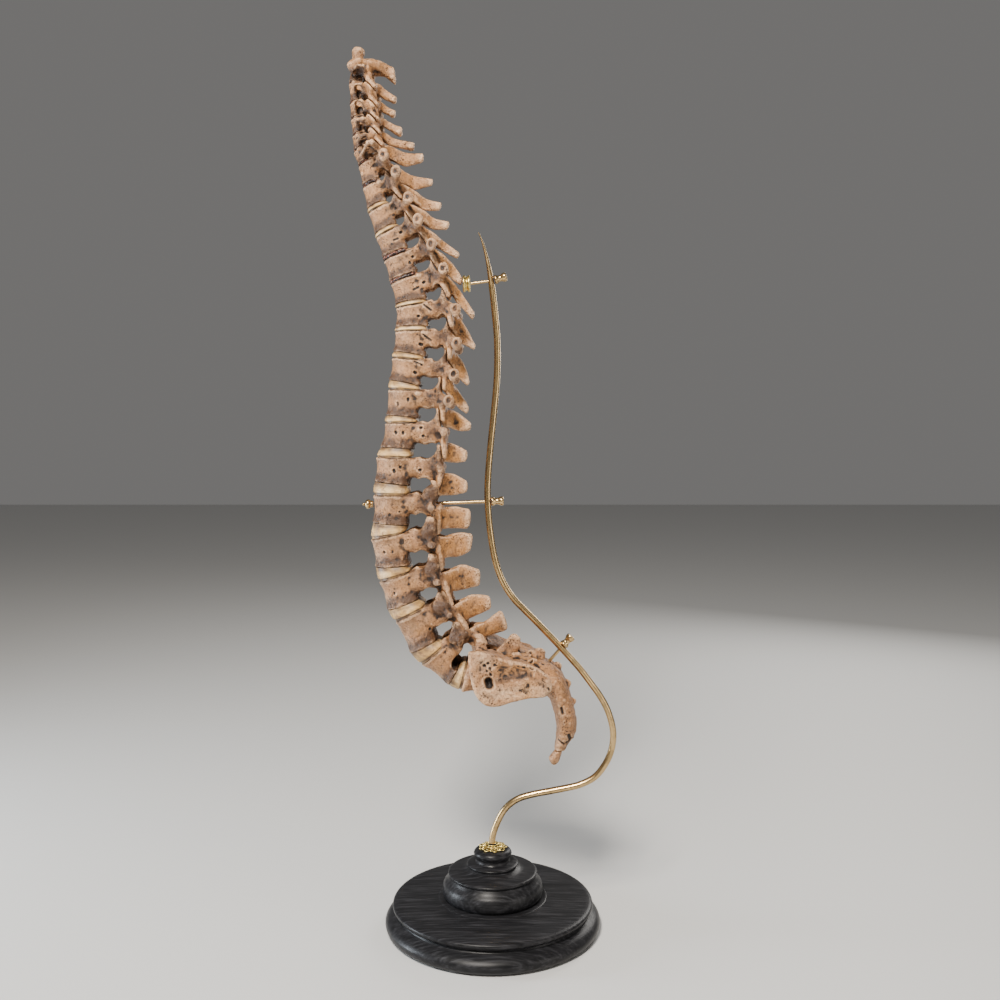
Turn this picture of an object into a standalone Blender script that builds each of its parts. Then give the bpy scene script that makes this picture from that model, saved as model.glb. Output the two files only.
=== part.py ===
"""A mounted human vertebral column, from the axis to the coccyx, on its museum stand.

World frame: the front of the body faces -X, its left side -Y, and up is +Z. The origin is the
centre of the base's underside. Design values are millimetres, and MM turns them into metres.
Each bone is its own solid. Discs, pins and the rod keep a small gap to what they rest on.
"""

import math

import bmesh
import bpy
from mathutils import Vector

MM = 0.001
GAP = 0.3
LIMB_SIDES = 6
SPINE_SIDES = 8
BODY_SIDES = 12
BODY_LEVELS = (0.0, 0.25, 0.75, 1.0)
BODY_WAIST = 0.09
WAIST_AT_FRONT = 0.6
WAIST_AT_SIDES = 1.3
SIDE_FULLNESS = 0.85
REAR_FULLNESS = 0.6
REAR_HOLLOW = 0.07
TIP_REACH = 0.35
TIP_SHARE = 0.6
SPINE_TIP_REACH = 1.2
SPINE_TIP_SHARE = 0.62
SHARP_DEGREES = 40
FULL_OVAL = 0.8
PIN_SIDES = 10
VERTEBRA_TRIANGLES = 430
SACRUM_TRIANGLES = 700

# Bodies: front edge top and bottom (x, z), rise of the top and bottom plate toward the rear in
# degrees, depth front to rear at the top and bottom, width.
BODIES = {
    "axis_c2": ((-124.5, 756), (-126.5, 740.2), (6, 6), (14, 14), 17),
    "cervical_c3": ((-126.5, 738.6), (-126, 721.9), (7, 8), (14, 14), 17),
    "cervical_c4": ((-126, 720.3), (-125.1, 708.1), (8, 10), (14, 14), 18),
    "cervical_c5": ((-124.7, 706.6), (-123.4, 693.3), (10, 12), (14, 14), 19),
    "cervical_c6": ((-123.4, 691.7), (-122.5, 679.6), (12, 17), (14.5, 14.5), 21),
    "cervical_c7": ((-122.1, 678), (-118.3, 666.6), (18, 24), (15.4, 15.4), 24),
    "thoracic_t1": ((-117.7, 665), (-114.6, 648.8), (24, 19), (17.7, 17.7), 27),
    "thoracic_t2": ((-114.1, 646.4), (-110.6, 628), (19, 22), (20.7, 20.7), 26),
    "thoracic_t3": ((-109.7, 624.4), (-104, 606), (23, 26), (23.7, 23.7), 25),
    "thoracic_t4": ((-102.7, 602.4), (-97.4, 585.5), (26, 21), (26.5, 26.5), 25),
    "thoracic_t5": ((-96.1, 582.7), (-91.3, 564.7), (21, 19), (29, 29), 26),
    "thoracic_t6": ((-89.9, 562.2), (-86.4, 544.6), (19, 10), (31, 31), 27),
    "thoracic_t7": ((-85.5, 541.4), (-86.4, 524.6), (8, 2), (32, 32), 28),
    "thoracic_t8": ((-86.4, 521), (-88.2, 503.7), (0, -9), (32, 32), 29),
    "thoracic_t9": ((-89, 498.2), (-91.7, 478.6), (-6, -11), (31, 31), 31),
    "thoracic_t10": ((-92, 470.2), (-94.8, 447.5), (-2, -4.5), (32, 32), 33),
    "thoracic_t11": ((-95.2, 440.9), (-99.2, 419.8), (0, -4), (32.5, 32.5), 36),
    "thoracic_t12": ((-102.7, 410.9), (-104.5, 389.9), (-1, -7), (35, 35), 39),
    "lumbar_l1": ((-105.3, 377.9), (-105.8, 353.8), (0.5, -4), (35.4, 35.4), 41),
    "lumbar_l2": ((-107.5, 339), (-103.6, 314.7), (12, 4), (34.5, 34.5), 43),
    "lumbar_l3": ((-100.1, 301.6), (-93, 276.8), (20, 21), (34.4, 34.4), 45),
    "lumbar_l4": ((-86, 267), (-73.2, 239.6), (28, 28), (35, 31), 47),
    "lumbar_l5": ((-63.1, 229.6), (-39.6, 211.4), (41, 60), (32, 28), 49),
}
LEVELS = list(BODIES)

# Spinous processes: upper edge (x, z) and lower edge (x, z) at the root, middle and tip.
SPINES = {
    "axis_c2": ((-106, 759, -104, 743), (-96, 756, -96, 740), (-86, 753, -85, 739)),
    "cervical_c3": ((-99, 738, -103, 730), (-91, 732, -95, 725), (-85.5, 728, -87, 722.5)),
    "cervical_c4": ((-97, 722, -102, 716), (-91, 718.5, -94, 712.5), (-86, 716, -88, 710)),
    "cervical_c5": ((-96, 708, -99, 702), (-89, 704.5, -91, 698), (-80.5, 701, -82, 693)),
    "cervical_c6": ((-96, 696, -98, 689), (-83, 690, -88, 684), (-69.5, 687.5, -72, 681)),
    "cervical_c7": ((-91, 684, -91, 672.5), (-77, 679, -78, 666.5), (-62, 678, -63, 670)),
    "thoracic_t1": ((-80, 662, -80, 650), (-68, 658, -68, 646), (-53.5, 656, -54.5, 649)),
    "thoracic_t2": ((-69, 645, -73, 635), (-58, 638, -60, 628), (-46, 635, -48, 628)),
    "thoracic_t3": ((-62, 628, -64, 617), (-51, 621, -53, 611), (-39.5, 618, -41, 611)),
    "thoracic_t4": ((-50, 606, -54, 598), (-40, 599, -45, 592.5), (-30.5, 591, -32.5, 586)),
    "thoracic_t5": ((-41, 587, -46, 579), (-33, 578.5, -38, 569), (-27.8, 570.5, -28.6, 562)),
    "thoracic_t6": ((-34, 565, -40, 558), (-25, 552.5, -31, 546), (-16.5, 539, -18.5, 532.5)),
    "thoracic_t7": ((-32, 538, -40, 526), (-23, 525, -31, 513), (-15.5, 510, -18, 505.5)),
    "thoracic_t8": ((-32, 503, -41, 496.5), (-24, 491, -34, 484), (-20.5, 478, -23.5, 474)),
    "thoracic_t9": ((-35, 476, -40, 464.5), (-28, 467, -32, 456), (-21.5, 455.5, -24, 449)),
    "thoracic_t10": ((-43, 454, -41, 438), (-32, 451, -31, 434), (-20.5, 442, -21, 434.5)),
    "thoracic_t11": ((-44, 425, -41, 407), (-33, 422, -32, 405.5), (-23.5, 417, -25, 406.5)),
    "thoracic_t12": ((-47, 397, -45, 377), (-36, 397, -35, 377), (-23.5, 391, -24, 379.5)),
    "lumbar_l1": ((-45, 366.5, -45, 348.5), (-33, 367.5, -32, 348), (-20.5, 363.5, -22, 350)),
    "lumbar_l2": ((-43, 342, -40, 323), (-31, 344.5, -30, 323), (-19, 342, -20, 329)),
    "lumbar_l3": ((-38, 313, -34, 293), (-26, 316.5, -23, 295), (-12.5, 311, -12.5, 299)),
    "lumbar_l4": ((-30, 285, -23, 268), (-18, 290, -13, 272), (-3.5, 288, -2.5, 278)),
    "lumbar_l5": ((-17, 264, -11, 252), (-5, 268, -1, 254), (7.5, 274, 12.5, 261)),
}
SPINE_HALF_WIDTHS = {"axis": (4, 5, 6), "cervical": (3.5, 3.5, 5), "thoracic": (3.5, 2.8, 3.3),
                     "lumbar": (4, 3.2, 4.4)}

# Facet joint below each vertebra: centre (x, z), how far its face looks up, distance from the
# midline. The upper bone's process lies behind this plane, the lower bone's in front of it.
FACETS = {
    "axis_c2": (-106, 732, 45, 17),
    "cervical_c3": (-104, 717, 45, 17),
    "cervical_c4": (-103, 704, 45, 17),
    "cervical_c5": (-101.5, 692.5, 45, 17),
    "cervical_c6": (-99.5, 682, 45, 17),
    "cervical_c7": (-97, 671.5, 45, 15.5),
    "thoracic_t1": (-89.5, 656.5, 40, 12.5),
    "thoracic_t2": (-84, 639, 36, 11.5),
    "thoracic_t3": (-73.5, 620, 34, 11),
    "thoracic_t4": (-61, 601, 30, 11),
    "thoracic_t5": (-52, 580, 28, 11),
    "thoracic_t6": (-42.5, 555, 22, 11),
    "thoracic_t7": (-39, 529, 12, 11),
    "thoracic_t8": (-40, 502, 2, 11),
    "thoracic_t9": (-44.5, 475, 0, 11),
    "thoracic_t10": (-46, 448, 6, 11.5),
    "thoracic_t11": (-44.5, 416, 5, 12),
    "thoracic_t12": (-51, 385, -4, 13),
    "lumbar_l1": (-52, 352, 2, 14),
    "lumbar_l2": (-50, 320, 8, 15),
    "lumbar_l3": (-42, 288, 22, 16),
    "lumbar_l4": (-28, 262.5, 34, 18),
    "lumbar_l5": (-12, 250, 48, 20),
}
LAST_FACETS_HALF_HEIGHT = 4.5
PEDICLE_LIFT = 7.0
FACET_TURN = {name: 55 for name in LEVELS[LEVELS.index("thoracic_t12"):]}

# Transverse process tips: (x, z), distance from the midline.
TRANSVERSE = {
    "axis_c2": (-112, 747, 25),
    "cervical_c3": (-114, 730.5, 25),
    "cervical_c4": (-113.5, 716, 26),
    "cervical_c5": (-112, 700.5, 26),
    "cervical_c6": (-109.5, 686, 28),
    "cervical_c7": (-103, 680, 32),
    "thoracic_t1": (-92.6, 668.5, 36),
    "thoracic_t2": (-82, 655, 34),
    "thoracic_t3": (-71.7, 633, 32),
    "thoracic_t4": (-63.7, 614.5, 31),
    "thoracic_t5": (-52.3, 593.5, 30),
    "thoracic_t6": (-42, 573, 30),
    "thoracic_t7": (-31, 537, 30),
    "thoracic_t8": (-30.2, 508, 29),
    "thoracic_t9": (-32.7, 481.3, 28),
    "thoracic_t10": (-37, 459.3, 26),
    "thoracic_t11": (-41.7, 433, 22),
    "thoracic_t12": (-45, 402, 20),
    "lumbar_l1": (-50, 368, 36),
    "lumbar_l2": (-50, 337, 40),
    "lumbar_l3": (-45, 306, 44),
    "lumbar_l4": (-35, 278, 42),
    "lumbar_l5": (-28, 254, 42),
}

# Sizes of the arch in each region: pedicle height and thickness, facet half height, half width
# and thickness, lamina half height and half thickness, transverse tip radius.
REGIONS = {
    "axis": dict(pedicle=(4.5, 3.5), facet=(4.5, 5.5, 4.4), lamina=(5, 2.4), tip=3),
    "cervical": dict(pedicle=(3.4, 2.8), facet=(4.2, 5.5, 4), lamina=(4, 2), tip=2.8),
    "thoracic": dict(pedicle=(4.6, 3.2), facet=(5.2, 4.6, 4), lamina=(5.5, 2.4), tip=5.4),
    "lumbar": dict(pedicle=(8, 4.4), facet=(7.5, 6.2, 6.5), lamina=(7, 3), tip=4),
}
# Pedicle half heights that differ from their region's.
PEDICLE_HALF_HEIGHTS = {
    "thoracic_t8": 5.4, "thoracic_t9": 6.0, "thoracic_t10": 6.4, "thoracic_t11": 7.2, "thoracic_t12": 7.4,
    "lumbar_l5": 7.0,
}

# The axis bone's peg and its left shoulder: centre (x, y, z), radius front to back, sideways.
DENS = ((-118.5, 0, 750, 6, 5.5), (-118.6, 0, 760, 5.2, 4.8), (-118.2, 0, 768, 6, 5.4),
        (-117.6, 0, 771.6, 4.4, 4.4))
SHOULDER = ((-118, 12, 745, 5, 6), (-119, 14, 751, 7, 7), (-120, 15, 755.5, 7, 6.5))

# The rod's centre line (x, z) from its foot to its point, and its radius.
ROD_PATH = (
    (-0.6, 71.6), (0, 77), (2.6, 86), (8.4, 98), (15.2, 105.7), (24, 111), (36, 114.4), (50.4, 117.1),
    (64, 119.7), (76.8, 122.8), (89.1, 129), (97.5, 138.5), (103.4, 150), (105.9, 162), (105.3, 174),
    (101, 188.4), (94.4, 200.7), (85.6, 213), (76.8, 224.6), (68, 234.6), (59.2, 244.3), (50, 254),
    (39, 265.4), (28, 276.4), (17.5, 287.5), (8.5, 302), (2.2, 320), (-1.6, 341), (-4, 364), (-4.5, 386),
    (-2.4, 416), (0.9, 449), (3.6, 480), (3.9, 512), (1.6, 540), (-1.2, 564), (-4.6, 583.5),
    (-9, 600), (-12.5, 608.6),
)
ROD_RADIUS = 3.0
ROD_TAPER_Z = 560.0
ROD_POINT_RADIUS = 0.35

# Sacral plate under the last disc: front edge (x, z), rise, depth, width.
SACRAL_PLATE = ((-27.5, 206), 79, 31, 50)

# Sacral body: pelvic edge (x, z), rear edge (x, z), half width, from its plate to its tip.
SACRAL_BODY = (
    (-27.5, 206, -21.6, 236.4, 24.5), (-23, 206.5, -17, 237.5, 26), (-7, 209.5, -3, 238, 25),
    (13, 213, 16, 238, 23), (33, 211.5, 37, 235, 26), (47.5, 203, 57.5, 226.5, 28),
    (53, 190, 68.5, 203, 25), (56, 176, 73, 184, 20), (55.8, 167, 73.5, 171, 15),
    (54.2, 159, 67, 159.5, 10.5), (54.2, 153.9, 64, 153.9, 8),
)
# Side outline of the wing's ear-shaped face (x, z), and how it grows outward from the body.
WING_OUTLINE = (
    (-20.5, 249), (-20, 236), (-17, 221), (-9.5, 206.5), (2, 203), (18, 206.5), (35, 210), (47, 213),
    (48.5, 225), (36, 236), (14, 242), (-6, 249),
)
WING_CENTRE = (12, 228)
WING_SECTIONS = ((12, 0.75), (30, 0.87), (45, 1.0), (50.5, 0.93))
COCCYX = (
    (54, 153.2, 61.5, 153.2, 6.5), (49.5, 147, 60.2, 149, 6), (51, 142.8, 58, 143.8, 4),
    (53, 140.6, 55.5, 140.8, 2),
)
S1_SPINE = ((10, 235, 9, 4), (17, 246, 7, 3.4), (21, 253, 4.5, 3))
S3_SPINE = ((36, 228, 8, 4), (41, 238, 6, 3.4), (43.5, 241, 4, 2.8))
S1_PROCESS = ((-6, 23, 232, 7, 6), (-9.5, 24, 246, 5.5, 5.5), (-11, 24.5, 254, 4, 4.4))

# The base: radius and height from the top centre down the outside to the underside.
BASE_PROFILE = (
    (0, 67), (12.4, 67), (15.4, 65.8), (16.7, 63.6), (15.6, 61), (14.6, 58.5), (15.2, 56.4), (21.6, 55.2),
    (22.4, 54), (21.4, 52.4), (25.5, 50), (33, 48.6), (38, 48), (39, 46.5), (37.8, 44.4), (39.6, 41.6),
    (42.8, 38), (44, 33), (43.2, 29), (41.6, 26.4), (46.4, 26), (47.6, 25.4), (78, 23.9), (85.6, 23.3),
    (87.4, 21.5), (86, 18.6), (83.8, 16.6), (84.6, 14.8), (90.4, 12.2), (93.2, 9.2), (93.9, 6.2), (92.4, 2.6),
    (89, 0), (0, 0),
)
BASE_STEPS = 32
ROSETTE_LOBES = 8
ROSETTE_RINGS = ((67.3, 12.2, 0.0), (68.2, 12.6, 0.08), (69.4, 9.4, 0.06), (70.9, 4.6, 0.0))

# Turned brass: radius and distance along its axis, tip first.
FINIAL_PROFILE = (
    (0, 11), (3, 11), (3.9, 10.2), (4, 8.8), (3.4, 7.2), (2.8, 5.4), (3, 3.4), (3.8, 2.2), (4, 1), (3.8, 0),
    (0, 0),
)
FRONT_FINIAL_PROFILE = (
    (0, 9.6), (1.1, 9.2), (1.3, 8.2), (1, 7.6), (3.2, 6.6), (4.2, 4.4), (3.4, 2.4), (2.7, 1.6), (2.8, 0),
    (0, 0),
)
CLAMP_PROFILE = (
    (0, 6.2), (6.6, 6.2), (7.4, 5.5), (7.4, 4.3), (6.3, 3.7), (6.3, 2.5), (7.4, 1.9), (7.4, 0.7), (6.6, 0),
    (0, 0),
)
TURNED_STEPS = 14

# Places of the brass fittings (x, z), in the plane of the column.
CLAMP_FRONT = (-26.2, 563.4)
CLAMP_TILT = 2.0
TOP_CROSSING = (-1.3, 566)
TOP_PIN_RADIUS = 1.3
TOP_FINIAL_TILT = 16.0
MIDDLE_CROSSING = (-4.2, 371.9)
MIDDLE_PIN_START = (-73, 369.4)
MIDDLE_PIN_RADIUS = 1.5
LOWER_CROSSING = (60.2, 243.2)
LOWER_PIN_START = (49.6, 231.4)
LOWER_PIN_RADIUS = 1.45
FRONT_FINIAL_SEAT = (-105.1, 369.6)


def material(name, colour, roughness, metallic=0.0):
    made = bpy.data.materials.new(name)
    made.use_nodes = True
    shader = made.node_tree.nodes["Principled BSDF"]
    shader.inputs["Base Color"].default_value = (*colour, 1.0)
    shader.inputs["Roughness"].default_value = roughness
    shader.inputs["Metallic"].default_value = metallic
    return made


def mesh_object(name, bm, collection):
    mesh = bpy.data.meshes.new(name)
    bm.to_mesh(mesh)
    bm.free()
    obj = bpy.data.objects.new(name, mesh)
    collection.objects.link(obj)
    return obj


def oval(centre, up, side, sides=LIMB_SIDES, fullness=1.0):
    """A closed ring of points round centre. Fullness under 1 squares it off."""
    points = []
    for step in range(sides):
        angle = 2 * math.pi * (step + 0.5) / sides
        across, along = math.cos(angle), math.sin(angle)
        reach = (abs(across) ** (2 / fullness) + abs(along) ** (2 / fullness)) ** (-fullness / 2)
        points.append(centre + side * across * reach + up * along * reach)
    return points


def loft(name, rings, collection):
    """A closed solid through rings that hold equal numbers of points."""
    bm = bmesh.new()
    ring = bmesh.ops.create_circle(bm, cap_ends=True, segments=len(rings[0]), radius=1.0)["verts"]
    for vert, point in zip(ring, rings[0]):
        vert.co = point * MM
    face = ring[0].link_faces[0]
    for number, points in enumerate(rings[1:]):
        places = {tuple(vert.co): index for index, vert in enumerate(ring)}
        made = bmesh.ops.extrude_face_region(bm, geom=[face])["geom"]
        if number:
            bm.faces.remove(face)
        face = [item for item in made if isinstance(item, bmesh.types.BMFace)][0]
        ring = sorted(face.verts, key=lambda vert: places[tuple(vert.co)])
        for vert, point in zip(ring, points):
            vert.co = point * MM
    bmesh.ops.recalc_face_normals(bm, faces=bm.faces)
    return mesh_object(name, bm, collection)


def limb(name, stations, collection, up=Vector((0, 0, 1)), sides=LIMB_SIDES, round_tip=True):
    """A loft along stations of (x, y, z, radius upward, radius sideways)."""
    centres = [Vector(station[:3]) for station in stations]
    rings = []
    for index, centre in enumerate(centres):
        before = centres[max(index - 1, 0)]
        after = centres[min(index + 1, len(centres) - 1)]
        along = (after - before).normalized()
        lift = (up - along * up.dot(along)).normalized()
        side = along.cross(lift)
        rings.append(oval(centre, lift * stations[index][3], side * stations[index][4], sides))
        if round_tip and index == len(centres) - 1:
            reach = min(stations[index][3:]) * TIP_REACH
            rings.append([centre + (point - centre) * TIP_SHARE + along * reach for point in rings[-1]])
    return loft(name, rings, collection)


def keep_side(obj, point, normal):
    """Cuts obj with a plane and keeps what lies on the side its normal points to."""
    bm = bmesh.new()
    bm.from_mesh(obj.data)
    geometry = bm.verts[:] + bm.edges[:] + bm.faces[:]
    bmesh.ops.bisect_plane(bm, geom=geometry, dist=1e-7, plane_co=point * MM, plane_no=normal,
                           clear_inner=True)
    rim = [edge for edge in bm.edges if edge.is_boundary]
    if rim:
        bmesh.ops.holes_fill(bm, edges=rim, sides=0)
    bmesh.ops.recalc_face_normals(bm, faces=bm.faces)
    bm.to_mesh(obj.data)
    bm.free()


def drop_object(obj):
    mesh = obj.data
    bpy.data.objects.remove(obj)
    bpy.data.meshes.remove(mesh)


def keep_largest_shell(bm):
    left = set(bm.verts)
    shells = []
    while left:
        seed = left.pop()
        shell = {seed}
        edge_of_search = [seed]
        while edge_of_search:
            vert = edge_of_search.pop()
            for edge in vert.link_edges:
                other = edge.other_vert(vert)
                if other in left:
                    left.discard(other)
                    shell.add(other)
                    edge_of_search.append(other)
        shells.append(shell)
    shells.sort(key=len, reverse=True)
    for shell in shells[1:]:
        bmesh.ops.delete(bm, geom=list(shell), context="VERTS")


def joined_mesh(base, others, solver):
    """The union of base with the collection others, as a bmesh of its largest shell."""
    join = base.modifiers.new("join", "BOOLEAN")
    join.operation = "UNION"
    join.operand_type = "COLLECTION"
    join.collection = others
    join.solver = solver
    bpy.context.view_layer.update()
    graph = bpy.context.evaluated_depsgraph_get()
    mesh = bpy.data.meshes.new_from_object(base.evaluated_get(graph))
    base.modifiers.remove(join)
    bm = bmesh.new()
    bm.from_mesh(mesh)
    bpy.data.meshes.remove(mesh)
    keep_largest_shell(bm)
    bmesh.ops.triangulate(bm, faces=bm.faces)
    return bm


def unite(name, pieces, triangles, skin, collection):
    """Joins closed pieces into one solid named name, thinned to about this many triangles."""
    base = pieces[0]
    others = bpy.data.collections.new(name + " pieces")
    for piece in pieces[1:]:
        others.objects.link(piece)
    bm = joined_mesh(base, others, "EXACT")
    if any(len(edge.link_faces) != 2 for edge in bm.edges):
        bm.free()
        bm = joined_mesh(base, others, "MANIFOLD")
    for piece in pieces:
        drop_object(piece)
    bpy.data.collections.remove(others)
    share = min(1.0, triangles / len(bm.faces))
    obj = mesh_object(name, bm, collection)
    thin = obj.modifiers.new("thin", "DECIMATE")
    thin.ratio = share
    finish(obj, skin)


def finish(obj, skin):
    obj.data.materials.clear()
    obj.data.materials.append(skin)
    obj.data.shade_smooth()
    obj.data.set_sharp_from_angle(angle=math.radians(SHARP_DEGREES))


def region_of(name):
    return name.split("_")[0]


def mid(first, second, share=0.5):
    return first + (second - first) * share


def plate(name, level):
    """Front point and rearward direction of a body's section; level 0 is its top plate."""
    top, bottom, rises, _, _ = BODIES[name]
    front = mid(Vector((top[0], 0, top[1])), Vector((bottom[0], 0, bottom[1])), level)
    rise = math.radians(rises[0] + (rises[1] - rises[0]) * level)
    return front, Vector((math.cos(rise), 0, math.sin(rise)))


def depth_at(name, level):
    top_depth, bottom_depth = BODIES[name][3]
    return top_depth + (bottom_depth - top_depth) * level


def share_of_depth(ahead):
    """How far back an outline point lies; the rear wall is fuller and hollow in its middle."""
    if ahead > 0:
        return 0.5 - 0.5 * ahead
    return 0.5 + 0.5 * abs(ahead) ** REAR_FULLNESS - REAR_HOLLOW * ahead ** 4


def body_outline(name, level, shrink=0.0):
    """The kidney-shaped outline of a body at this level, drawn in by shrink."""
    front, rearward = plate(name, level)
    depth = depth_at(name, level)
    width = BODIES[name][4]
    pinch = BODY_WAIST * 4 * level * (1 - level)
    depth_here = depth * (1 - pinch) - 2 * shrink
    half_width = width / 2 * (1 - pinch * WAIST_AT_SIDES) - shrink
    start = front + rearward * (depth * pinch * WAIST_AT_FRONT + shrink)
    points = []
    for step in range(BODY_SIDES):
        angle = 2 * math.pi * (step + 0.5) / BODY_SIDES
        share = share_of_depth(math.cos(angle))
        across = math.copysign(abs(math.sin(angle)) ** SIDE_FULLNESS, math.sin(angle))
        points.append(start + rearward * depth_here * share + Vector((0, half_width * across, 0)))
    return points


def facet_frame(name, side):
    """Centre, the normal that points from the lower bone to the upper, and upward direction."""
    x, z, looks_up, spread = FACETS[name]
    tilt = math.radians(looks_up)
    turn = math.radians(FACET_TURN.get(name, 0))
    normal = Vector((math.cos(turn) * math.cos(tilt), -side * math.sin(turn),
                     math.cos(turn) * math.sin(tilt)))
    upward = Vector((-math.sin(tilt), 0, math.cos(tilt)))
    return Vector((x, side * spread, z)), normal, upward


def pillar(name, side):
    """The place where pedicle, lamina and processes meet."""
    below = facet_frame(name, side)[0]
    index = LEVELS.index(name)
    if index == 0:
        return below + Vector((-4, -side * 1, 9))
    above = facet_frame(LEVELS[index - 1], side)[0]
    return mid(above, below)


def upper_process(name, side, scratch):
    """The superior articular process, cut flat against the bone above."""
    above = LEVELS[LEVELS.index(name) - 1]
    half_height, half_width, thick = REGIONS[region_of(above)]["facet"]
    centre, normal, upward = facet_frame(above, side)
    root = pillar(name, side)
    inward = normal * (thick / 2)
    low = centre - inward - upward * half_height * 0.4
    high = centre - inward + upward * half_height * 0.9
    stations = [(*(root - Vector((1, 0, 0))), thick * 0.7, half_width * 0.8),
                (*low, thick * 0.75, half_width), (*high, thick * 0.5, half_width * 0.75)]
    made = limb("upper process", stations, scratch, up=normal, round_tip=False)
    keep_side(made, centre - normal * GAP / 2, -normal)
    return made


def lower_process(name, side, scratch):
    """The inferior articular process, cut flat against the bone below."""
    half_height, half_width, thick = REGIONS[region_of(name)]["facet"]
    if name in LEVELS[-2:]:
        half_height = LAST_FACETS_HALF_HEIGHT
    centre, normal, upward = facet_frame(name, side)
    root = pillar(name, side) + Vector((2.5, -side * 1.5, 0))
    inward = normal * (thick / 2)
    high = centre + inward + upward * half_height * 0.4
    low = centre + inward - upward * half_height
    stations = [(*root, thick * 0.6, half_width * 0.7), (*high, thick * 0.7, half_width),
                (*low, thick * 0.45, half_width * 0.75)]
    made = limb("lower process", stations, scratch, up=normal, round_tip=False)
    keep_side(made, centre + normal * GAP / 2, normal)
    return made


def pedicle(name, side, scratch):
    half_height, half_width = REGIONS[region_of(name)]["pedicle"]
    half_height = PEDICLE_HALF_HEIGHTS.get(name, half_height)
    front, rearward = plate(name, 0.38)
    width = BODIES[name][4]
    end = pillar(name, side)
    start = front + rearward * (depth_at(name, 0.38) - 5)
    start.y = side * min(width / 2 - half_width, abs(end.y))
    rise = PEDICLE_LIFT * rearward.z if region_of(name) in ("cervical", "thoracic") else 0
    rear = end + Vector((0.5 if region_of(name) == "lumbar" else 2.5, 0, rise))
    stations = [(*start, half_height, half_width), (*rear, half_height * 0.75, half_width)]
    made = limb("pedicle", stations, scratch, round_tip=False)
    index = LEVELS.index(name)
    if index and region_of(name) != "lumbar":
        centre, normal, _ = facet_frame(LEVELS[index - 1], side)
        keep_side(made, centre - normal * GAP / 2, -normal)
    return made


def lamina(name, side, scratch):
    half_height, half_thick = REGIONS[region_of(name)]["lamina"]
    cervical = region_of(name) in ("axis", "cervical")
    start = pillar(name, side) + (Vector((1.5, 0, -1)) if cervical else Vector((2.5, 0, 0)))
    upper_x, upper_z, lower_x, lower_z = SPINES[name][0]
    root = Vector(((upper_x + lower_x) / 2, -side * 1.2, (upper_z + lower_z) / 2))
    root_half = (upper_z - lower_z) / 2 * 0.85
    stations = [(*start, half_height * 0.75, half_thick), (*root, root_half, half_thick)]
    if cervical:
        knee = start + Vector((3, -side * 7, 1.5))
        stations.insert(1, (*knee, half_height * 0.85, half_thick))
    made = limb("lamina", stations, scratch, round_tip=False)
    centre, normal, _ = facet_frame(name, side)
    if region_of(name) != "lumbar" and name != "thoracic_t12":
        keep_side(made, centre + normal * GAP / 2, normal)
    return made


def transverse(name, side, scratch):
    tip_x, tip_z, span = TRANSVERSE[name]
    region = region_of(name)
    radius = REGIONS[region]["tip"]
    if name in ("thoracic_t11", "thoracic_t12"):
        radius *= 0.8
    tip = Vector((tip_x, side * (span - radius * 0.35), tip_z))
    root = pillar(name, side)
    if region == "lumbar":
        root = root + Vector((-4, side * 1, 0))
    if region == "thoracic":
        root = root + Vector((2, 0, 0))
    stations = [(*root, radius * 0.72, radius * 0.72), (*tip, radius, radius * 0.85)]
    made = [limb("transverse", stations, scratch)]
    if region in ("axis", "cervical"):
        front, rearward = plate(name, 0.6)
        rib = front + rearward * 6
        rib.y = side * (BODIES[name][4] / 2 - 2)
        made.append(limb("front bar", [(*rib, 2, 2), (*tip, 2.4, 2.4)], scratch))
    return made


def spinous(name, scratch):
    widths = SPINE_HALF_WIDTHS[region_of(name)]
    rings = []
    for station, half_width in zip(SPINES[name], widths):
        upper = Vector((station[0], 0, station[1]))
        lower = Vector((station[2], 0, station[3]))
        sideways = Vector((0, half_width, 0))
        rings.append(oval(mid(upper, lower), (upper - lower) / 2, sideways, SPINE_SIDES, FULL_OVAL))
    tip = sum(rings[-1], Vector()) / SPINE_SIDES
    before = sum(rings[-2], Vector()) / SPINE_SIDES
    outward = (tip - before).normalized() * SPINE_TIP_REACH
    rings.append([tip + (point - tip) * SPINE_TIP_SHARE + outward for point in rings[-1]])
    return loft("spinous", rings, scratch)


def dens(scratch):
    """The peg and the two shoulders that carried the missing bone above."""
    made = [limb("dens", DENS, scratch, up=Vector((1, 0, 0)), sides=SPINE_SIDES)]
    for side in (-1, 1):
        stations = [(x, side * y, z, deep, wide) for x, y, z, deep, wide in SHOULDER]
        made.append(limb("shoulder", stations, scratch, up=Vector((1, 0, 0)), sides=SPINE_SIDES))
    return made


def vertebra(name, skin, scratch, collection):
    pieces = [loft("body", [body_outline(name, level) for level in BODY_LEVELS], scratch)]
    for side in (-1, 1):
        pieces.append(pedicle(name, side, scratch))
        pieces.append(lamina(name, side, scratch))
        pieces.append(lower_process(name, side, scratch))
        pieces.extend(transverse(name, side, scratch))
        if name != LEVELS[0]:
            pieces.append(upper_process(name, side, scratch))
    if name == LEVELS[0]:
        pieces.extend(dens(scratch))
    pieces.append(spinous(name, scratch))
    unite(name, pieces, VERTEBRA_TRIANGLES, skin, collection)


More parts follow.
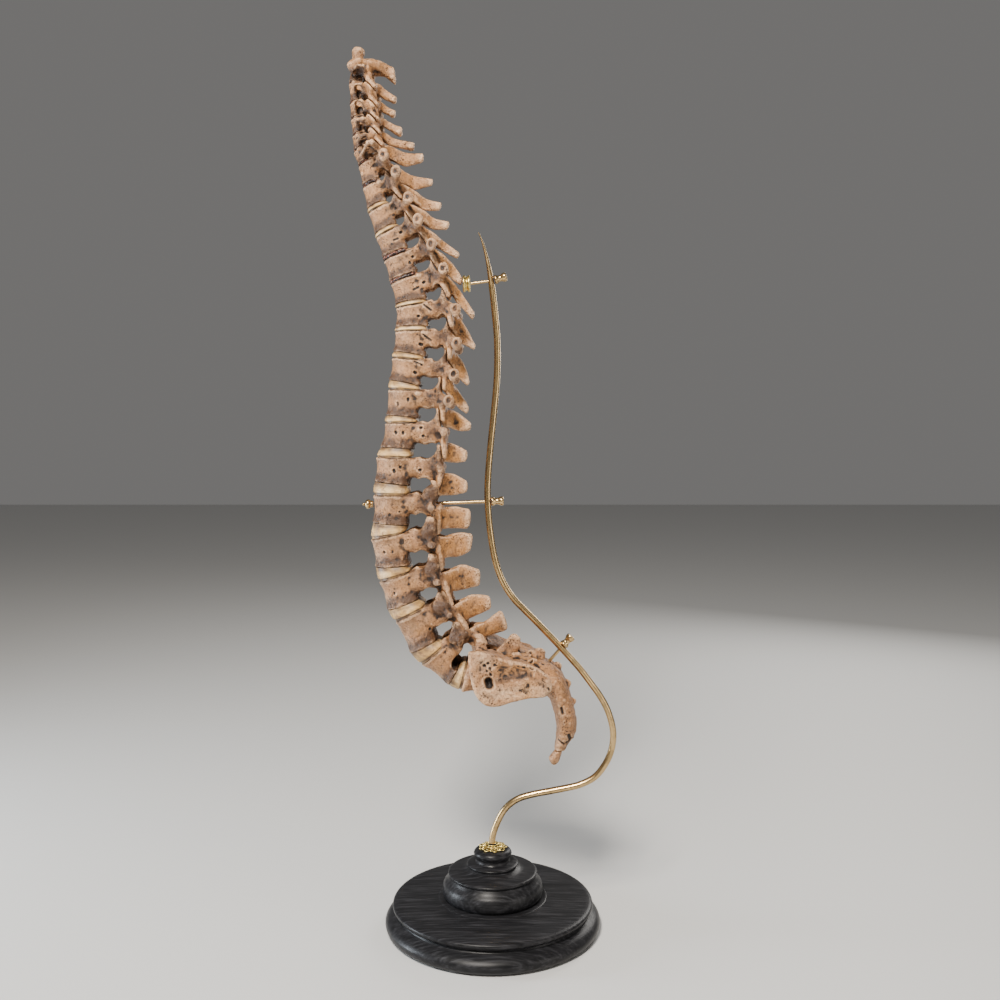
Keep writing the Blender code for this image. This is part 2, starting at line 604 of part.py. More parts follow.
def disc(index, skin, collection):
    """The disc under one vertebra, between the two plates."""
    upper = LEVELS[index]
    lift = Vector((0, 0, 1))
    _, upper_rear = plate(upper, 1.0)
    top = body_outline(upper, 1.0, shrink=0.5)
    if index + 1 < len(LEVELS):
        lower = LEVELS[index + 1]
        _, lower_rear = plate(lower, 0.0)
        bottom = body_outline(lower, 0.0, shrink=0.5)
        name = "disc_" + upper.split("_")[1] + "_" + lower.split("_")[1]
    else:
        lower_rear = sacral_rearward()
        bottom = sacral_outline(shrink=0.8)
        name = "disc_" + upper.split("_")[1] + "_s1"
    upper_down = Vector((upper_rear.z, 0, -upper_rear.x)) * GAP
    lower_up = Vector((-lower_rear.z, 0, lower_rear.x)) * GAP
    rings = [[point + lower_up for point in bottom], [point + upper_down for point in top]]
    obj = loft(name, rings, collection)
    finish(obj, skin)


def sacral_rearward():
    rise = math.radians(SACRAL_PLATE[1])
    return Vector((math.cos(rise), 0, math.sin(rise)))


def sacral_outline(shrink=0.0):
    front = Vector((SACRAL_PLATE[0][0], 0, SACRAL_PLATE[0][1]))
    rearward = sacral_rearward()
    half_width = SACRAL_PLATE[3] / 2 - shrink
    depth = SACRAL_PLATE[2] - 2 * shrink
    points = []
    for step in range(BODY_SIDES):
        angle = 2 * math.pi * (step + 0.5) / BODY_SIDES
        across = Vector((0, half_width * math.sin(angle), 0))
        points.append(front + rearward * (shrink + depth * share_of_depth(math.cos(angle))) + across)
    return points


def profile_section(pelvic_x, pelvic_z, rear_x, rear_z, half_width, sides=BODY_SIDES):
    pelvic = Vector((pelvic_x, 0, pelvic_z))
    rear = Vector((rear_x, 0, rear_z))
    sideways = Vector((0, half_width, 0))
    return oval(mid(pelvic, rear), (rear - pelvic) / 2, sideways, sides, FULL_OVAL)


def sacrum(skin, scratch, collection):
    pieces = [loft("sacral body", [profile_section(*section) for section in SACRAL_BODY], scratch)]
    centre = Vector((WING_CENTRE[0], 0, WING_CENTRE[1]))
    for side in (-1, 1):
        rings = []
        for reach, grown in WING_SECTIONS:
            rings.append([centre + (Vector((x, 0, z)) - centre) * grown + Vector((0, side * reach, 0))
                          for x, z in WING_OUTLINE])
        pieces.append(loft("wing", rings, scratch))
        stations = [(x, side * y, z, thick, wide) for x, y, z, thick, wide in S1_PROCESS]
        process = limb("sacral process", stations, scratch, up=Vector((1, 0, 0.3)))
        place, normal, _ = facet_frame(LEVELS[-1], side)
        keep_side(process, place - normal * GAP / 2, -normal)
        pieces.append(process)
    for crest in (S1_SPINE, S3_SPINE):
        stations = [(x, 0, z, deep, wide) for x, z, deep, wide in crest]
        pieces.append(limb("crest", stations, scratch, up=Vector((1, 0, 0)), sides=SPINE_SIDES))
    unite("sacrum", pieces, SACRUM_TRIANGLES, skin, collection)


def turned(name, profile, seat, axis, steps, skin, collection):
    """A turned piece whose profile's zero end sits at seat and whose tip points along axis."""
    mesh = bpy.data.meshes.new(name)
    points = [(radius * MM, 0, height * MM) for radius, height in profile]
    mesh.from_pydata(points, [(i, i + 1) for i in range(len(points) - 1)], [])
    obj = bpy.data.objects.new(name, mesh)
    obj.location = Vector((seat[0], 0, seat[1])) * MM
    obj.rotation_euler.y = math.atan2(axis[0], axis[1])
    screw = obj.modifiers.new("turn", "SCREW")
    screw.steps = steps
    screw.render_steps = steps
    screw.use_merge_vertices = True
    screw.merge_threshold = 0.00001
    screw.use_smooth_shade = True
    collection.objects.link(obj)
    mesh.materials.append(skin)
    return obj


def rosette(skin, collection):
    rings = []
    sides = ROSETTE_LOBES * 3
    for height, radius, wave in ROSETTE_RINGS:
        ring = []
        for step in range(sides):
            angle = 2 * math.pi * step / sides
            reach = radius * (1 + wave * math.cos(ROSETTE_LOBES * angle))
            ring.append(Vector((reach * math.cos(angle), reach * math.sin(angle), height)))
        rings.append(ring)
    finish(loft("stand_rosette", rings, collection), skin)


def rod(skin, collection):
    curve = bpy.data.curves.new("stand_rod", "CURVE")
    curve.dimensions = "3D"
    curve.bevel_depth = ROD_RADIUS * MM
    curve.bevel_resolution = 2
    curve.use_fill_caps = True
    spline = curve.splines.new("POLY")
    spline.points.add(len(ROD_PATH) - 1)
    top = ROD_PATH[-1][1]
    for point, (x, z) in zip(spline.points, ROD_PATH):
        point.co = (x * MM, 0, z * MM, 1)
        fade = max(0.0, (z - ROD_TAPER_Z) / (top - ROD_TAPER_Z))
        point.radius = 1 - fade * (1 - ROD_POINT_RADIUS / ROD_RADIUS)
    curve.materials.append(skin)
    collection.objects.link(bpy.data.objects.new("stand_rod", curve))


def pin(name, start, crossing, radius, skin, collection):
    """A straight pin from start to the rod that it meets at crossing."""
    begin = Vector((start[0], 0, start[1]))
    meet = Vector((crossing[0], 0, crossing[1]))
    along = (meet - begin).normalized()
    end = meet - along * (ROD_RADIUS + GAP)
    stations = [(*begin, radius, radius), (*end, radius, radius)]
    finish(limb(name, stations, collection, sides=PIN_SIDES, round_tip=False), skin)
    return along


def stand(brass, wood, collection):
    turned("stand_base", BASE_PROFILE, (0, 0), (0, 1), BASE_STEPS, wood, collection)
    rosette(brass, collection)
    rod(brass, collection)
    tilt = math.radians(CLAMP_TILT)
    axis = (math.cos(tilt), math.sin(tilt))
    turned("stand_clamp", CLAMP_PROFILE, CLAMP_FRONT, axis, TURNED_STEPS, brass, collection)
    clamp_rear = CLAMP_PROFILE[0][1] + GAP
    pin_start = (CLAMP_FRONT[0] + axis[0] * clamp_rear, CLAMP_FRONT[1] + axis[1] * clamp_rear)
    crossings = (
        ("top", pin_start, TOP_CROSSING, TOP_PIN_RADIUS, TOP_FINIAL_TILT),
        ("middle", MIDDLE_PIN_START, MIDDLE_CROSSING, MIDDLE_PIN_RADIUS, None),
        ("lower", LOWER_PIN_START, LOWER_CROSSING, LOWER_PIN_RADIUS, None),
    )
    for level, start, crossing, radius, tilt in crossings:
        along = pin("stand_pin_" + level, start, crossing, radius, brass, collection)
        direction = (along.x, along.z)
        if tilt is not None:
            direction = (math.cos(math.radians(tilt)), math.sin(math.radians(tilt)))
        reach = ROD_RADIUS + 2 * GAP
        seat = (crossing[0] + direction[0] * reach, crossing[1] + direction[1] * reach)
        turned("stand_finial_" + level, FINIAL_PROFILE, seat, direction, TURNED_STEPS, brass, collection)
    turned("stand_finial_front", FRONT_FINIAL_PROFILE, FRONT_FINIAL_SEAT, (-1, 0), TURNED_STEPS, brass,
           collection)


def main():
    for obj in list(bpy.data.objects):
        bpy.data.objects.remove(obj)
    scene = bpy.context.scene.collection
    model = bpy.data.collections.new("vertebral column on stand")
    scratch = bpy.data.collections.new("scratch")
    scene.children.link(model)
    scene.children.link(scratch)
    bone = material("bone", (0.62, 0.49, 0.36), 0.65)
    cartilage = material("disc", (0.82, 0.68, 0.47), 0.55)
    brass = material("brass", (0.78, 0.6, 0.3), 0.28, 1.0)
    wood = material("black wood", (0.012, 0.011, 0.011), 0.3)
    for name in LEVELS:
        vertebra(name, bone, scratch, model)
    for index in range(len(LEVELS)):
        disc(index, cartilage, model)
    sacrum(bone, scratch, model)
    coccyx_rings = [profile_section(*section, sides=SPINE_SIDES) for section in COCCYX]
    finish(loft("coccyx", coccyx_rings, model), bone)
    stand(brass, wood, model)
    bpy.data.collections.remove(scratch)


main()
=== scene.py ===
"""A life-size human spine on a museum stand: bones, discs, brass fittings, turned base, studio.

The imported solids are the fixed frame. Design values are millimetres, and MM makes them metres.
The front of the body faces -X, its left side -Y, and up is +Z.
"""

import math

import bmesh
import bpy
import numpy as np
from mathutils import Matrix, Vector


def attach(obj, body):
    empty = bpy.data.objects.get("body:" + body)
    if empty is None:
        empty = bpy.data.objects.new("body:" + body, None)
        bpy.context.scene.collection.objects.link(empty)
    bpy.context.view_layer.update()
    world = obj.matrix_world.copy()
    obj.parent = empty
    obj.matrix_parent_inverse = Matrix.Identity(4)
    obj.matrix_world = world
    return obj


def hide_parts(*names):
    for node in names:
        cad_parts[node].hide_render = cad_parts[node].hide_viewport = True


bl_info = {
    "name": "Museum Spine",
    "version": (1, 0, 0),
    "blender": (4, 5, 0),
    "location": "3D View > Sidebar > Spine",
    "description": "Builds a life-size human spine on a curved brass rod and a turned black base",
    "category": "Add Mesh",
}

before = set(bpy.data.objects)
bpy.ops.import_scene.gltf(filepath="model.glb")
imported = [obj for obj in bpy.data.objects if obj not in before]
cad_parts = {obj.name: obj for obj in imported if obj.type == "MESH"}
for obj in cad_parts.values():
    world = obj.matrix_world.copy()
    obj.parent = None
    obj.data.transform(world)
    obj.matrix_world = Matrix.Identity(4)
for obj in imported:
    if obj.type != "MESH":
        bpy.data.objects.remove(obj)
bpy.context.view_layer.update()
MM = 0.001
UP = Vector((0, 0, 1))
AHEAD = Vector((1, 0, 0))

# Bodies: front edge top and bottom (x, z), rise of the top and bottom plate toward the rear in
# degrees, depth front to rear at the top and bottom, width.
BODIES = {
    "axis_c2": ((-124.5, 756), (-126.5, 740.2), (6, 6), (14, 14), 17),
    "cervical_c3": ((-126.5, 738.6), (-126, 721.9), (7, 8), (14, 14), 17),
    "cervical_c4": ((-126, 720.3), (-125.1, 708.1), (8, 10), (14, 14), 18),
    "cervical_c5": ((-124.7, 706.6), (-123.4, 693.3), (10, 12), (14, 14), 19),
    "cervical_c6": ((-123.4, 691.7), (-122.5, 679.6), (12, 17), (14.5, 14.5), 21),
    "cervical_c7": ((-122.1, 678), (-118.3, 666.6), (18, 24), (15.4, 15.4), 24),
    "thoracic_t1": ((-117.7, 665), (-114.6, 648.8), (24, 19), (17.7, 17.7), 27),
    "thoracic_t2": ((-114.1, 646.4), (-110.6, 628), (19, 22), (20.7, 20.7), 26),
    "thoracic_t3": ((-109.7, 624.4), (-104, 606), (23, 26), (23.7, 23.7), 25),
    "thoracic_t4": ((-102.7, 602.4), (-97.4, 585.5), (26, 21), (26.5, 26.5), 25),
    "thoracic_t5": ((-96.1, 582.7), (-91.3, 564.7), (21, 19), (29, 29), 26),
    "thoracic_t6": ((-89.9, 562.2), (-86.4, 544.6), (19, 10), (31, 31), 27),
    "thoracic_t7": ((-85.5, 541.4), (-86.4, 524.6), (8, 2), (32, 32), 28),
    "thoracic_t8": ((-86.4, 521), (-88.2, 503.7), (0, -9), (32, 32), 29),
    "thoracic_t9": ((-89, 498.2), (-91.7, 478.6), (-6, -11), (31, 31), 31),
    "thoracic_t10": ((-92, 470.2), (-94.8, 447.5), (-2, -4.5), (32, 32), 33),
    "thoracic_t11": ((-95.2, 440.9), (-99.2, 419.8), (0, -4), (32.5, 32.5), 36),
    "thoracic_t12": ((-102.7, 410.9), (-104.5, 389.9), (-1, -7), (35, 35), 39),
    "lumbar_l1": ((-105.3, 377.9), (-105.8, 353.8), (0.5, -4), (35.4, 35.4), 41),
    "lumbar_l2": ((-107.5, 339), (-103.6, 314.7), (12, 4), (34.5, 34.5), 43),
    "lumbar_l3": ((-100.1, 301.6), (-93, 276.8), (20, 21), (34.4, 34.4), 45),
    "lumbar_l4": ((-86, 267), (-73.2, 239.6), (28, 28), (35, 31), 47),
    "lumbar_l5": ((-63.1, 229.6), (-39.6, 211.4), (41, 60), (32, 28), 49),
}
LEVELS = list(BODIES)
NECK, CHEST, LOIN = LEVELS[:6], LEVELS[6:18], LEVELS[18:]
FLOATING = CHEST[-2:]
FORKED = LEVELS[:5]

# Spinous processes: upper edge (x, z) and lower edge (x, z) at the root, middle and tip.
SPINES = {
    "axis_c2": ((-107, 760, -105, 747), (-97, 757, -96, 746), (-87.5, 754, -86, 738.5)),
    "cervical_c3": ((-99, 738, -103, 730), (-91, 732, -95, 725), (-85.5, 728, -87, 722.5)),
    "cervical_c4": ((-97, 722, -102, 716), (-91, 718.5, -94, 712.5), (-86, 716, -88, 710)),
    "cervical_c5": ((-96, 708, -99, 702), (-89, 704.5, -91, 698), (-80.5, 701, -82, 693)),
    "cervical_c6": ((-96, 696, -98, 689), (-83, 690, -88, 684), (-69.5, 687.5, -72, 681)),
    "cervical_c7": ((-91, 684, -91, 672.5), (-77, 679, -78, 666.5), (-62, 678, -63, 670)),
    "thoracic_t1": ((-80, 662, -80, 650), (-68, 658, -68, 646), (-53.5, 656, -54.5, 649)),
    "thoracic_t2": ((-69, 645, -73, 635), (-58, 638, -60, 628), (-46, 635, -48, 628)),
    "thoracic_t3": ((-62, 628, -64, 617), (-51, 621, -53, 611), (-39.5, 618, -41, 611)),
    "thoracic_t4": ((-50, 606, -54, 598), (-40, 599, -45, 592.5), (-30.5, 591, -32.5, 586)),
    "thoracic_t5": ((-41, 587, -46, 579), (-33, 578.5, -38, 569), (-27.8, 570.5, -28.6, 562)),
    "thoracic_t6": ((-34, 565, -40, 558), (-25, 552.5, -31, 546), (-16.5, 539, -18.5, 532.5)),
    "thoracic_t7": ((-32, 538, -40, 526), (-23, 525, -31, 513), (-15.5, 510, -18, 505.5)),
    "thoracic_t8": ((-32, 503, -41, 496.5), (-24, 491, -34, 484), (-20.5, 478, -23.5, 474)),
    "thoracic_t9": ((-35, 476, -40, 464.5), (-28, 467, -32, 456), (-21.5, 455.5, -24, 449)),
    "thoracic_t10": ((-43, 454, -41, 438), (-32, 451, -31, 434), (-20.5, 442, -21, 434.5)),
    "thoracic_t11": ((-44, 425, -41, 407), (-33, 422, -32, 405.5), (-23.5, 417, -25, 406.5)),
    "thoracic_t12": ((-47, 397, -45, 377), (-36, 397, -35, 377), (-23.5, 391, -24, 379.5)),
    "lumbar_l1": ((-45, 366.5, -45, 348.5), (-33, 367.5, -32, 348), (-20.5, 363.5, -22, 350)),
    "lumbar_l2": ((-43, 342, -40, 323), (-31, 344.5, -30, 323), (-19, 342, -20, 329)),
    "lumbar_l3": ((-38, 313, -34, 293), (-26, 316.5, -23, 295), (-12.5, 311, -12.5, 299)),
    "lumbar_l4": ((-30, 285, -23, 268), (-18, 290, -13, 272), (-3.5, 288, -2.5, 278)),
    "lumbar_l5": ((-17, 264, -11, 252), (-5, 268, -1, 254), (7.5, 274, 12.5, 261)),
}

# Facet joint below each vertebra: centre (x, z), how far its face looks up, distance from the
# midline. The upper bone's process lies behind this plane, the lower bone's in front of it.
FACETS = {
    "axis_c2": (-106, 732, 45, 17),
    "cervical_c3": (-104, 717, 45, 17),
    "cervical_c4": (-103, 704, 45, 17),
    "cervical_c5": (-101.5, 692.5, 45, 17),
    "cervical_c6": (-99.5, 682, 45, 17),
    "cervical_c7": (-97, 671.5, 45, 15.5),
    "thoracic_t1": (-89.5, 656.5, 40, 12.5),
    "thoracic_t2": (-84, 639, 36, 11.5),
    "thoracic_t3": (-73.5, 620, 34, 11),
    "thoracic_t4": (-61, 601, 30, 11),
    "thoracic_t5": (-52, 580, 28, 11),
    "thoracic_t6": (-42.5, 555, 22, 11),
    "thoracic_t7": (-39, 529, 12, 11),
    "thoracic_t8": (-40, 502, 2, 11),
    "thoracic_t9": (-44.5, 475, 0, 11),
    "thoracic_t10": (-46, 448, 6, 11.5),
    "thoracic_t11": (-44.5, 416, 5, 12),
    "thoracic_t12": (-51, 385, -4, 13),
    "lumbar_l1": (-52, 352, 2, 14),
    "lumbar_l2": (-50, 320, 8, 15),
    "lumbar_l3": (-42, 288, 22, 16),
    "lumbar_l4": (-28, 262.5, 34, 18),
    "lumbar_l5": (-12, 250, 48, 20),
}
SIDEWAYS_FACETS = LEVELS[LEVELS.index("thoracic_t12"):]

# Transverse process tips: (x, z), distance from the midline.
TRANSVERSE = {
    "axis_c2": (-112, 747, 25),
    "cervical_c3": (-114, 730.5, 25),
    "cervical_c4": (-113.5, 716, 26),
    "cervical_c5": (-112, 700.5, 26),
    "cervical_c6": (-109.5, 686, 28),
    "cervical_c7": (-103, 680, 32),
    "thoracic_t1": (-92.6, 668.5, 36),
    "thoracic_t2": (-82, 655, 34),
    "thoracic_t3": (-71.7, 633, 32),
    "thoracic_t4": (-63.7, 614.5, 31),
    "thoracic_t5": (-52.3, 593.5, 30),
    "thoracic_t6": (-42, 573, 30),
    "thoracic_t7": (-31, 537, 30),
    "thoracic_t8": (-30.2, 508, 29),
    "thoracic_t9": (-32.7, 481.3, 28),
    "thoracic_t10": (-37, 459.3, 26),
    "thoracic_t11": (-41.7, 433, 22),
    "thoracic_t12": (-45, 402, 20),
    "lumbar_l1": (-50, 368, 36),
    "lumbar_l2": (-50, 337, 40),
    "lumbar_l3": (-45, 306, 44),
    "lumbar_l4": (-35, 278, 42),
    "lumbar_l5": (-28, 254, 42),
}

# The openings between neighbouring arches, by the upper bone: centre (x, z), half length, half
# width, tilt of the length.
FORAMINA = {
    "axis_c2": (-116.3, 741.7, 5.4, 4.6, 0),
    "cervical_c3": (-116.3, 726.2, 4.4, 3.5, 80),
    "cervical_c4": (-115.8, 711, 5.6, 4, 80),
    "cervical_c5": (-115.5, 694.8, 4.2, 3.3, 50),
    "cervical_c6": (-110.2, 681.7, 3.8, 2.2, 60),
    "cervical_c7": (-101.6, 671.3, 5, 2.4, 75),
    "thoracic_t1": (-95.6, 656.2, 5.8, 2.6, 78),
    "thoracic_t2": (-89.1, 637.9, 6, 2.8, 80),
    "thoracic_t3": (-80, 618.8, 6.6, 3.5, 75),
    "thoracic_t4": (-68.7, 599.7, 7, 4.9, 60),
    "thoracic_t5": (-59.2, 579.7, 6.9, 4.8, 65),
    "thoracic_t6": (-49.2, 554.1, 8.2, 4.8, 72),
    "thoracic_t7": (-45.5, 528, 7.8, 5, 70),
    "thoracic_t8": (-47.5, 501.3, 8, 5, 60),
    "thoracic_t9": (-53.4, 475.5, 7.8, 4.8, 38),
    "thoracic_t10": (-54.8, 448.1, 7.6, 5.3, 48),
    "thoracic_t11": (-56.1, 416.9, 8.8, 6, 35),
    "thoracic_t12": (-60, 386.2, 7.6, 7, 45),
    "lumbar_l1": (-62.9, 355.6, 7.6, 6.2, 70),
    "lumbar_l2": (-62, 323.4, 7.6, 6.6, 60),
    "lumbar_l3": (-55.5, 291, 8.4, 6.4, 45),
    "lumbar_l4": (-41.6, 261.5, 8.6, 6, 35),
    "lumbar_l5": (-28.2, 235.6, 8, 5, 45),
}

# Pedicle height and thickness, facet half height, half width and thickness, lamina half height
# and half thickness, transverse tip radius, half widths of the spinous process.
REGIONS = {
    "axis": dict(pedicle=(4.5, 3.5), facet=(4.5, 5.5, 4.4), lamina=(5, 2.6), tip=3,
        spine=(4.4, 4.2, 5.2)),
    "cervical": dict(pedicle=(3.4, 2.8), facet=(4.6, 5.8, 4.2), lamina=(4.2, 2.2), tip=2.9,
        spine=(3.6, 2.8, 3.6)),
    "thoracic": dict(pedicle=(4.6, 3.8), facet=(5.6, 4.9, 4.4), lamina=(6.4, 2.6), tip=5.4,
        spine=(4.4, 2.4, 3.1)),
    "lumbar": dict(pedicle=(8, 4.6), facet=(7.5, 6.4, 6.8), lamina=(8, 3.4), tip=3.6,
        spine=(5.6, 3.4, 4.2)),
}
JOINT_GAP = 0.8
PEDICLE_LIFT = 7.0
FACET_TURN = 55
# A mark's bowl reaches this many of its radii. The rounds of easing that tell fine hollows and
# edges from broad ones.
BOWL_REACH = 1.35
FINE_ROUNDS, BROAD_ROUNDS = 4, 40
# Levels of the rings down the side of a body, closer together at its lips.
BODY_LEVELS = (0.035, 0.075, 0.13, 0.22, 0.36, 0.5, 0.64, 0.78, 0.87, 0.925, 0.965)

# Holes and cracks on the sides of the bodies: (x, z) at both ends, radius, depth. A mark within
# the margin of a body's plate belongs to no body.
MARK_MARGIN = 1.2
BODY_MARKS = (
    (-84.6, 627.1, -84.6, 627.1, 1.0, 1.6), (-80.3, 606.3, -79.5, 606.8, 1.0, 1.8),
    (-69.6, 585.3, -69.6, 585.3, 1.1, 2), (-72.3, 580.8, -71.8, 580, 0.9, 1.4),
    (-60.2, 562.9, -59.6, 563.3, 1.1, 2), (-68.7, 556.8, -64.5, 558.9, 0.9, 1.2),
    (-64.7, 533.7, -64.2, 533.7, 1.1, 2), (-59.7, 543.2, -53.7, 538.9, 0.9, 1.3),
    (-63, 509.4, -61.6, 508.8, 1.2, 2), (-60.2, 517.3, -53.7, 512.7, 0.8, 1.2),
    (-67.7, 484.9, -66.8, 484.2, 1.2, 2.2), (-67.7, 493.9, -61.2, 491, 0.8, 1),
    (-86.1, 600, -82.3, 601.4, 0.8, 1), (-73.3, 461.5, -73.3, 460.5, 1.1, 1.8),
    (-82.4, 458.5, -82.2, 456.4, 0.8, 1.2), (-84.1, 433, -83.8, 432, 1.1, 2),
    (-77.5, 432.7, -77.4, 431.5, 1, 1.8), (-62.3, 436.6, -61.8, 436.6, 1.1, 1.8),
    (-60.3, 429.5, -60, 429.5, 1.1, 1.8), (-79.9, 402.6, -79.6, 402.2, 1, 1.6),
    (-85.3, 399.8, -85, 398.8, 1.2, 1.8), (-63, 400.1, -62.6, 400.1, 1.2, 2),
    (-89, 361.6, -89, 361, 0.9, 1.4), (-80.5, 364, -80.5, 364, 0.8, 1.2),
    (-93.7, 329.2, -93.5, 329, 1, 1.6), (-86.3, 329.7, -86.3, 329.4, 0.8, 1.2),
    (-84.8, 293.9, -84.8, 293.6, 0.9, 1.4), (-54.1, 263.1, -54.1, 262.8, 1, 1.6),
)

# Sacral plate under the last disc: front edge (x, z), rise, depth, width.
SACRAL_PLATE = ((-27.5, 206), 79, 31, 50)
SACRAL_BODY = (
    (-27.5, 206, -21.6, 236.4, 24.5), (-23, 206.5, -17, 237.5, 26), (-7, 209.5, -3, 238, 25),
    (13, 213, 16, 238, 23), (33, 211.5, 37, 235, 26), (47.5, 203, 57.5, 226.5, 28),
    (53, 190, 68.5, 203, 25), (56, 176, 73, 184, 20), (55.8, 167, 73.5, 171, 15),
    (54.2, 159, 67, 159.5, 10.5), (54.2, 154, 64, 154, 8),
)
WING_OUTLINE = (
    (-20.5, 249), (-20, 236), (-17, 221), (-13, 210.5), (-7, 204.4), (2, 203.2), (18, 207.2),
    (35, 210.4), (47, 213), (48.5, 225), (36, 236), (14, 242), (-6, 249),
)
WING_CENTRE = (12, 228)
WING_SECTIONS = ((12, 0.75), (30, 0.87), (45, 1.0), (49.4, 0.98), (50.4, 0.93))
COCCYX = (
    (54, 153.2, 61.5, 153.2, 6.5), (54, 153.2, 61.5, 153.2, 6.5), (49.5, 147, 60.2, 149, 6),
    (51, 142.8, 58, 143.8, 4), (53, 140.7, 55.5, 140.9, 2), (53, 140.7, 55.5, 140.9, 2),
)
S1_SPINE = ((10, 235, 9, 4), (17, 246, 7, 3.4), (21, 253, 4.5, 3))
S3_SPINE = ((36, 228, 8, 4), (41, 238, 6, 3.4), (43.5, 241, 4, 2.8))
S1_PROCESS = ((-6, 23, 232, 7, 6), (-9.5, 24, 246, 5.5, 5.5), (-11, 24.5, 254, 4, 4.4))
SACRAL_KNOBS = (
    (4, 17, 240, 4), (20, 18, 240, 3.6), (35, 17, 235, 3.4), (51, 14, 223, 3.2), (62, 10, 206, 3),
)
SACRAL_MARKS = (
    (-3.3, 224.5, -2.6, 221.5, 3.2, 6), (-6.8, 238.1, -6.4, 238.1, 1.1, 2),
    (-3.9, 239.9, -3.6, 239.9, 1, 2), (1.7, 238.7, 1.9, 238.7, 1, 1.8),
    (-2.1, 235.9, -2, 235.6, 1, 1.8), (-1.5, 230.5, -1.4, 230.2, 1, 1.8),
    (32.7, 236.4, 33.2, 235.9, 1.6, 2.6), (26, 236.7, 26.6, 236.4, 1, 1.6),
    (-4.6, 233.6, -4.4, 233.4, 0.8, 1.2), (46.5, 219.5, 47.5, 218, 0.9, 1.2),
    (59, 196, 60, 192, 1.3, 1.4), (66, 170, 67.5, 166, 1.5, 1.6), (64, 163, 70, 166, 0.9, 1.4),
    (56, 166, 62, 161.5, 0.8, 1), (44, 205.5, 45, 209, 0.7, 0.9),
)
SACRAL_HOLLOWS = (
    (10, 232, 10, 1.9), (22, 233, 10, 2.2), (30, 234, 8, 1.8), (-10, 236, 8, 0.9),
    (-2, 229, 7, 1.2), (41, 229, 8, 1.2), (26, 217, 9, 0.7), (52, 212, 9, 1.4), (50, 196, 7, 0.8),
)

# Marks that stain, darken or pale the sacrum: kind, centre (x, y, z) or ends (x, z), reach, strength.
SACRAL_SPOTS = (
    ("pale", (-8, 50, 212), 16, 0.95), ("pale", (-10, 50, 243), 13, 0.85),
    ("soot_and_shade", (22, 48, 236), 13, 0.22), ("soot_and_shade", (46, 44, 230), 12, 0.35),
    ("soot_and_shade", (60, 14, 196), 16, 0.25), ("pale", (-18, 48, 224), 10, 0.8),
    ("warm", (31, 50, 216), 12, 0.8), ("soot_and_shade", (-12, 26, 248), 10, 0.45),
    ("pale", (20, 0, 252), 8, 0.6), ("warm", (70, 8, 178), 9, 0.6),
    ("soot_and_shade", (64, 8, 163), 8, 0.5), ("pale", (57, 6, 160), 6, 0.6),
)
SACRAL_BANDS = (
    ("soot_and_shade", (4, 225.5), (30, 230), 3.4, 0.75), ("soot_and_shade", (30, 230), (44, 221), 3, 0.55),
    ("pale", (0, 214), (42, 219), 8.5, 0.95), ("warm", (6, 236), (36, 236), 7, 0.35),
)

# The rod's centre line (x, z) from its foot to its point.
ROD_PATH = (
    (-0.6, 71.6), (0, 77), (2.6, 86), (8.4, 98), (15.2, 105.7), (24, 111), (36, 114.4),
    (50.4, 117.1), (64, 119.7), (76.8, 122.8), (89.1, 129), (97.5, 138.5), (103.4, 150),
    (105.9, 162), (105.3, 174), (101, 188.4), (94.4, 200.7), (85.6, 213), (76.8, 224.6),
    (68, 234.6), (59.2, 244.3), (50, 254), (39, 265.4), (28, 276.4), (17.5, 287.5), (8.5, 302),
    (2.2, 320), (-1.6, 341), (-4, 364), (-4.5, 386), (-2.4, 416), (0.9, 449), (3.6, 480),
    (3.9, 512), (1.6, 540), (-1.2, 564), (-4.6, 583.5), (-9, 600), (-12.5, 608.6),
)
ROD_TAPER_Z = 560.0
ROD_POINT_RADIUS = 0.35

# The base: radius and height from the top centre down the outside. A point given twice is a corner.
BASE_PROFILE = (
    (0, 67), (0, 67), (6, 67), (12.4, 67), (15.2, 65.9), (16.7, 63.6), (15.9, 61.2), (14.6, 59.2),
    (14.6, 59.2), (14.5, 57.6), (15.4, 56.2), (15.4, 56.2), (19, 55.8), (21.8, 55), (22.4, 53.8),
    (21.2, 52.4), (21.2, 52.4), (25.5, 50), (33, 48.7), (37.6, 48.1), (39, 46.7), (37.8, 44.6),
    (37.8, 44.6), (39.6, 41.8), (42.8, 38.2), (44, 33.2), (43.4, 29), (41.4, 26.2), (41.4, 26.2),
    (46.4, 26.1), (47.5, 25.6), (47.5, 25.6), (60, 24.8), (78, 23.9), (85.4, 23.2), (87.4, 21.3),
    (86.4, 18.6), (83.6, 16.6), (83.6, 16.6), (84.8, 14.9), (90, 12.4), (93.1, 9.2), (93.9, 6.2),
    (92.6, 2.6), (89, 0), (89, 0), (40, 0), (0, 0), (0, 0),
)
FINIAL_PROFILE = (
    (0, 11), (0, 11), (2.6, 11), (3.5, 10.8), (4.0, 10), (4.05, 8.8), (3.6, 7.4), (3.0, 6.2),
    (2.8, 5), (2.9, 3.9), (3.4, 2.9), (3.9, 2.1), (4.05, 1.3), (3.8, 0.5), (3.3, 0.1), (3.3, 0.1),
    (0, 0), (0, 0),
)
FRONT_FINIAL_PROFILE = (
    (0, 9.6), (0, 9.6), (0.9, 9.4), (1.3, 8.6), (1.1, 7.8), (0.8, 7.4), (0.8, 7.4), (2.4, 7),
    (3.8, 5.9), (4.2, 4.5), (3.8, 3.1), (2.9, 2.1), (2.9, 2.1), (3.1, 1.5), (2.9, 0.8), (2.7, 0),
    (2.7, 0), (0, 0), (0, 0),
)
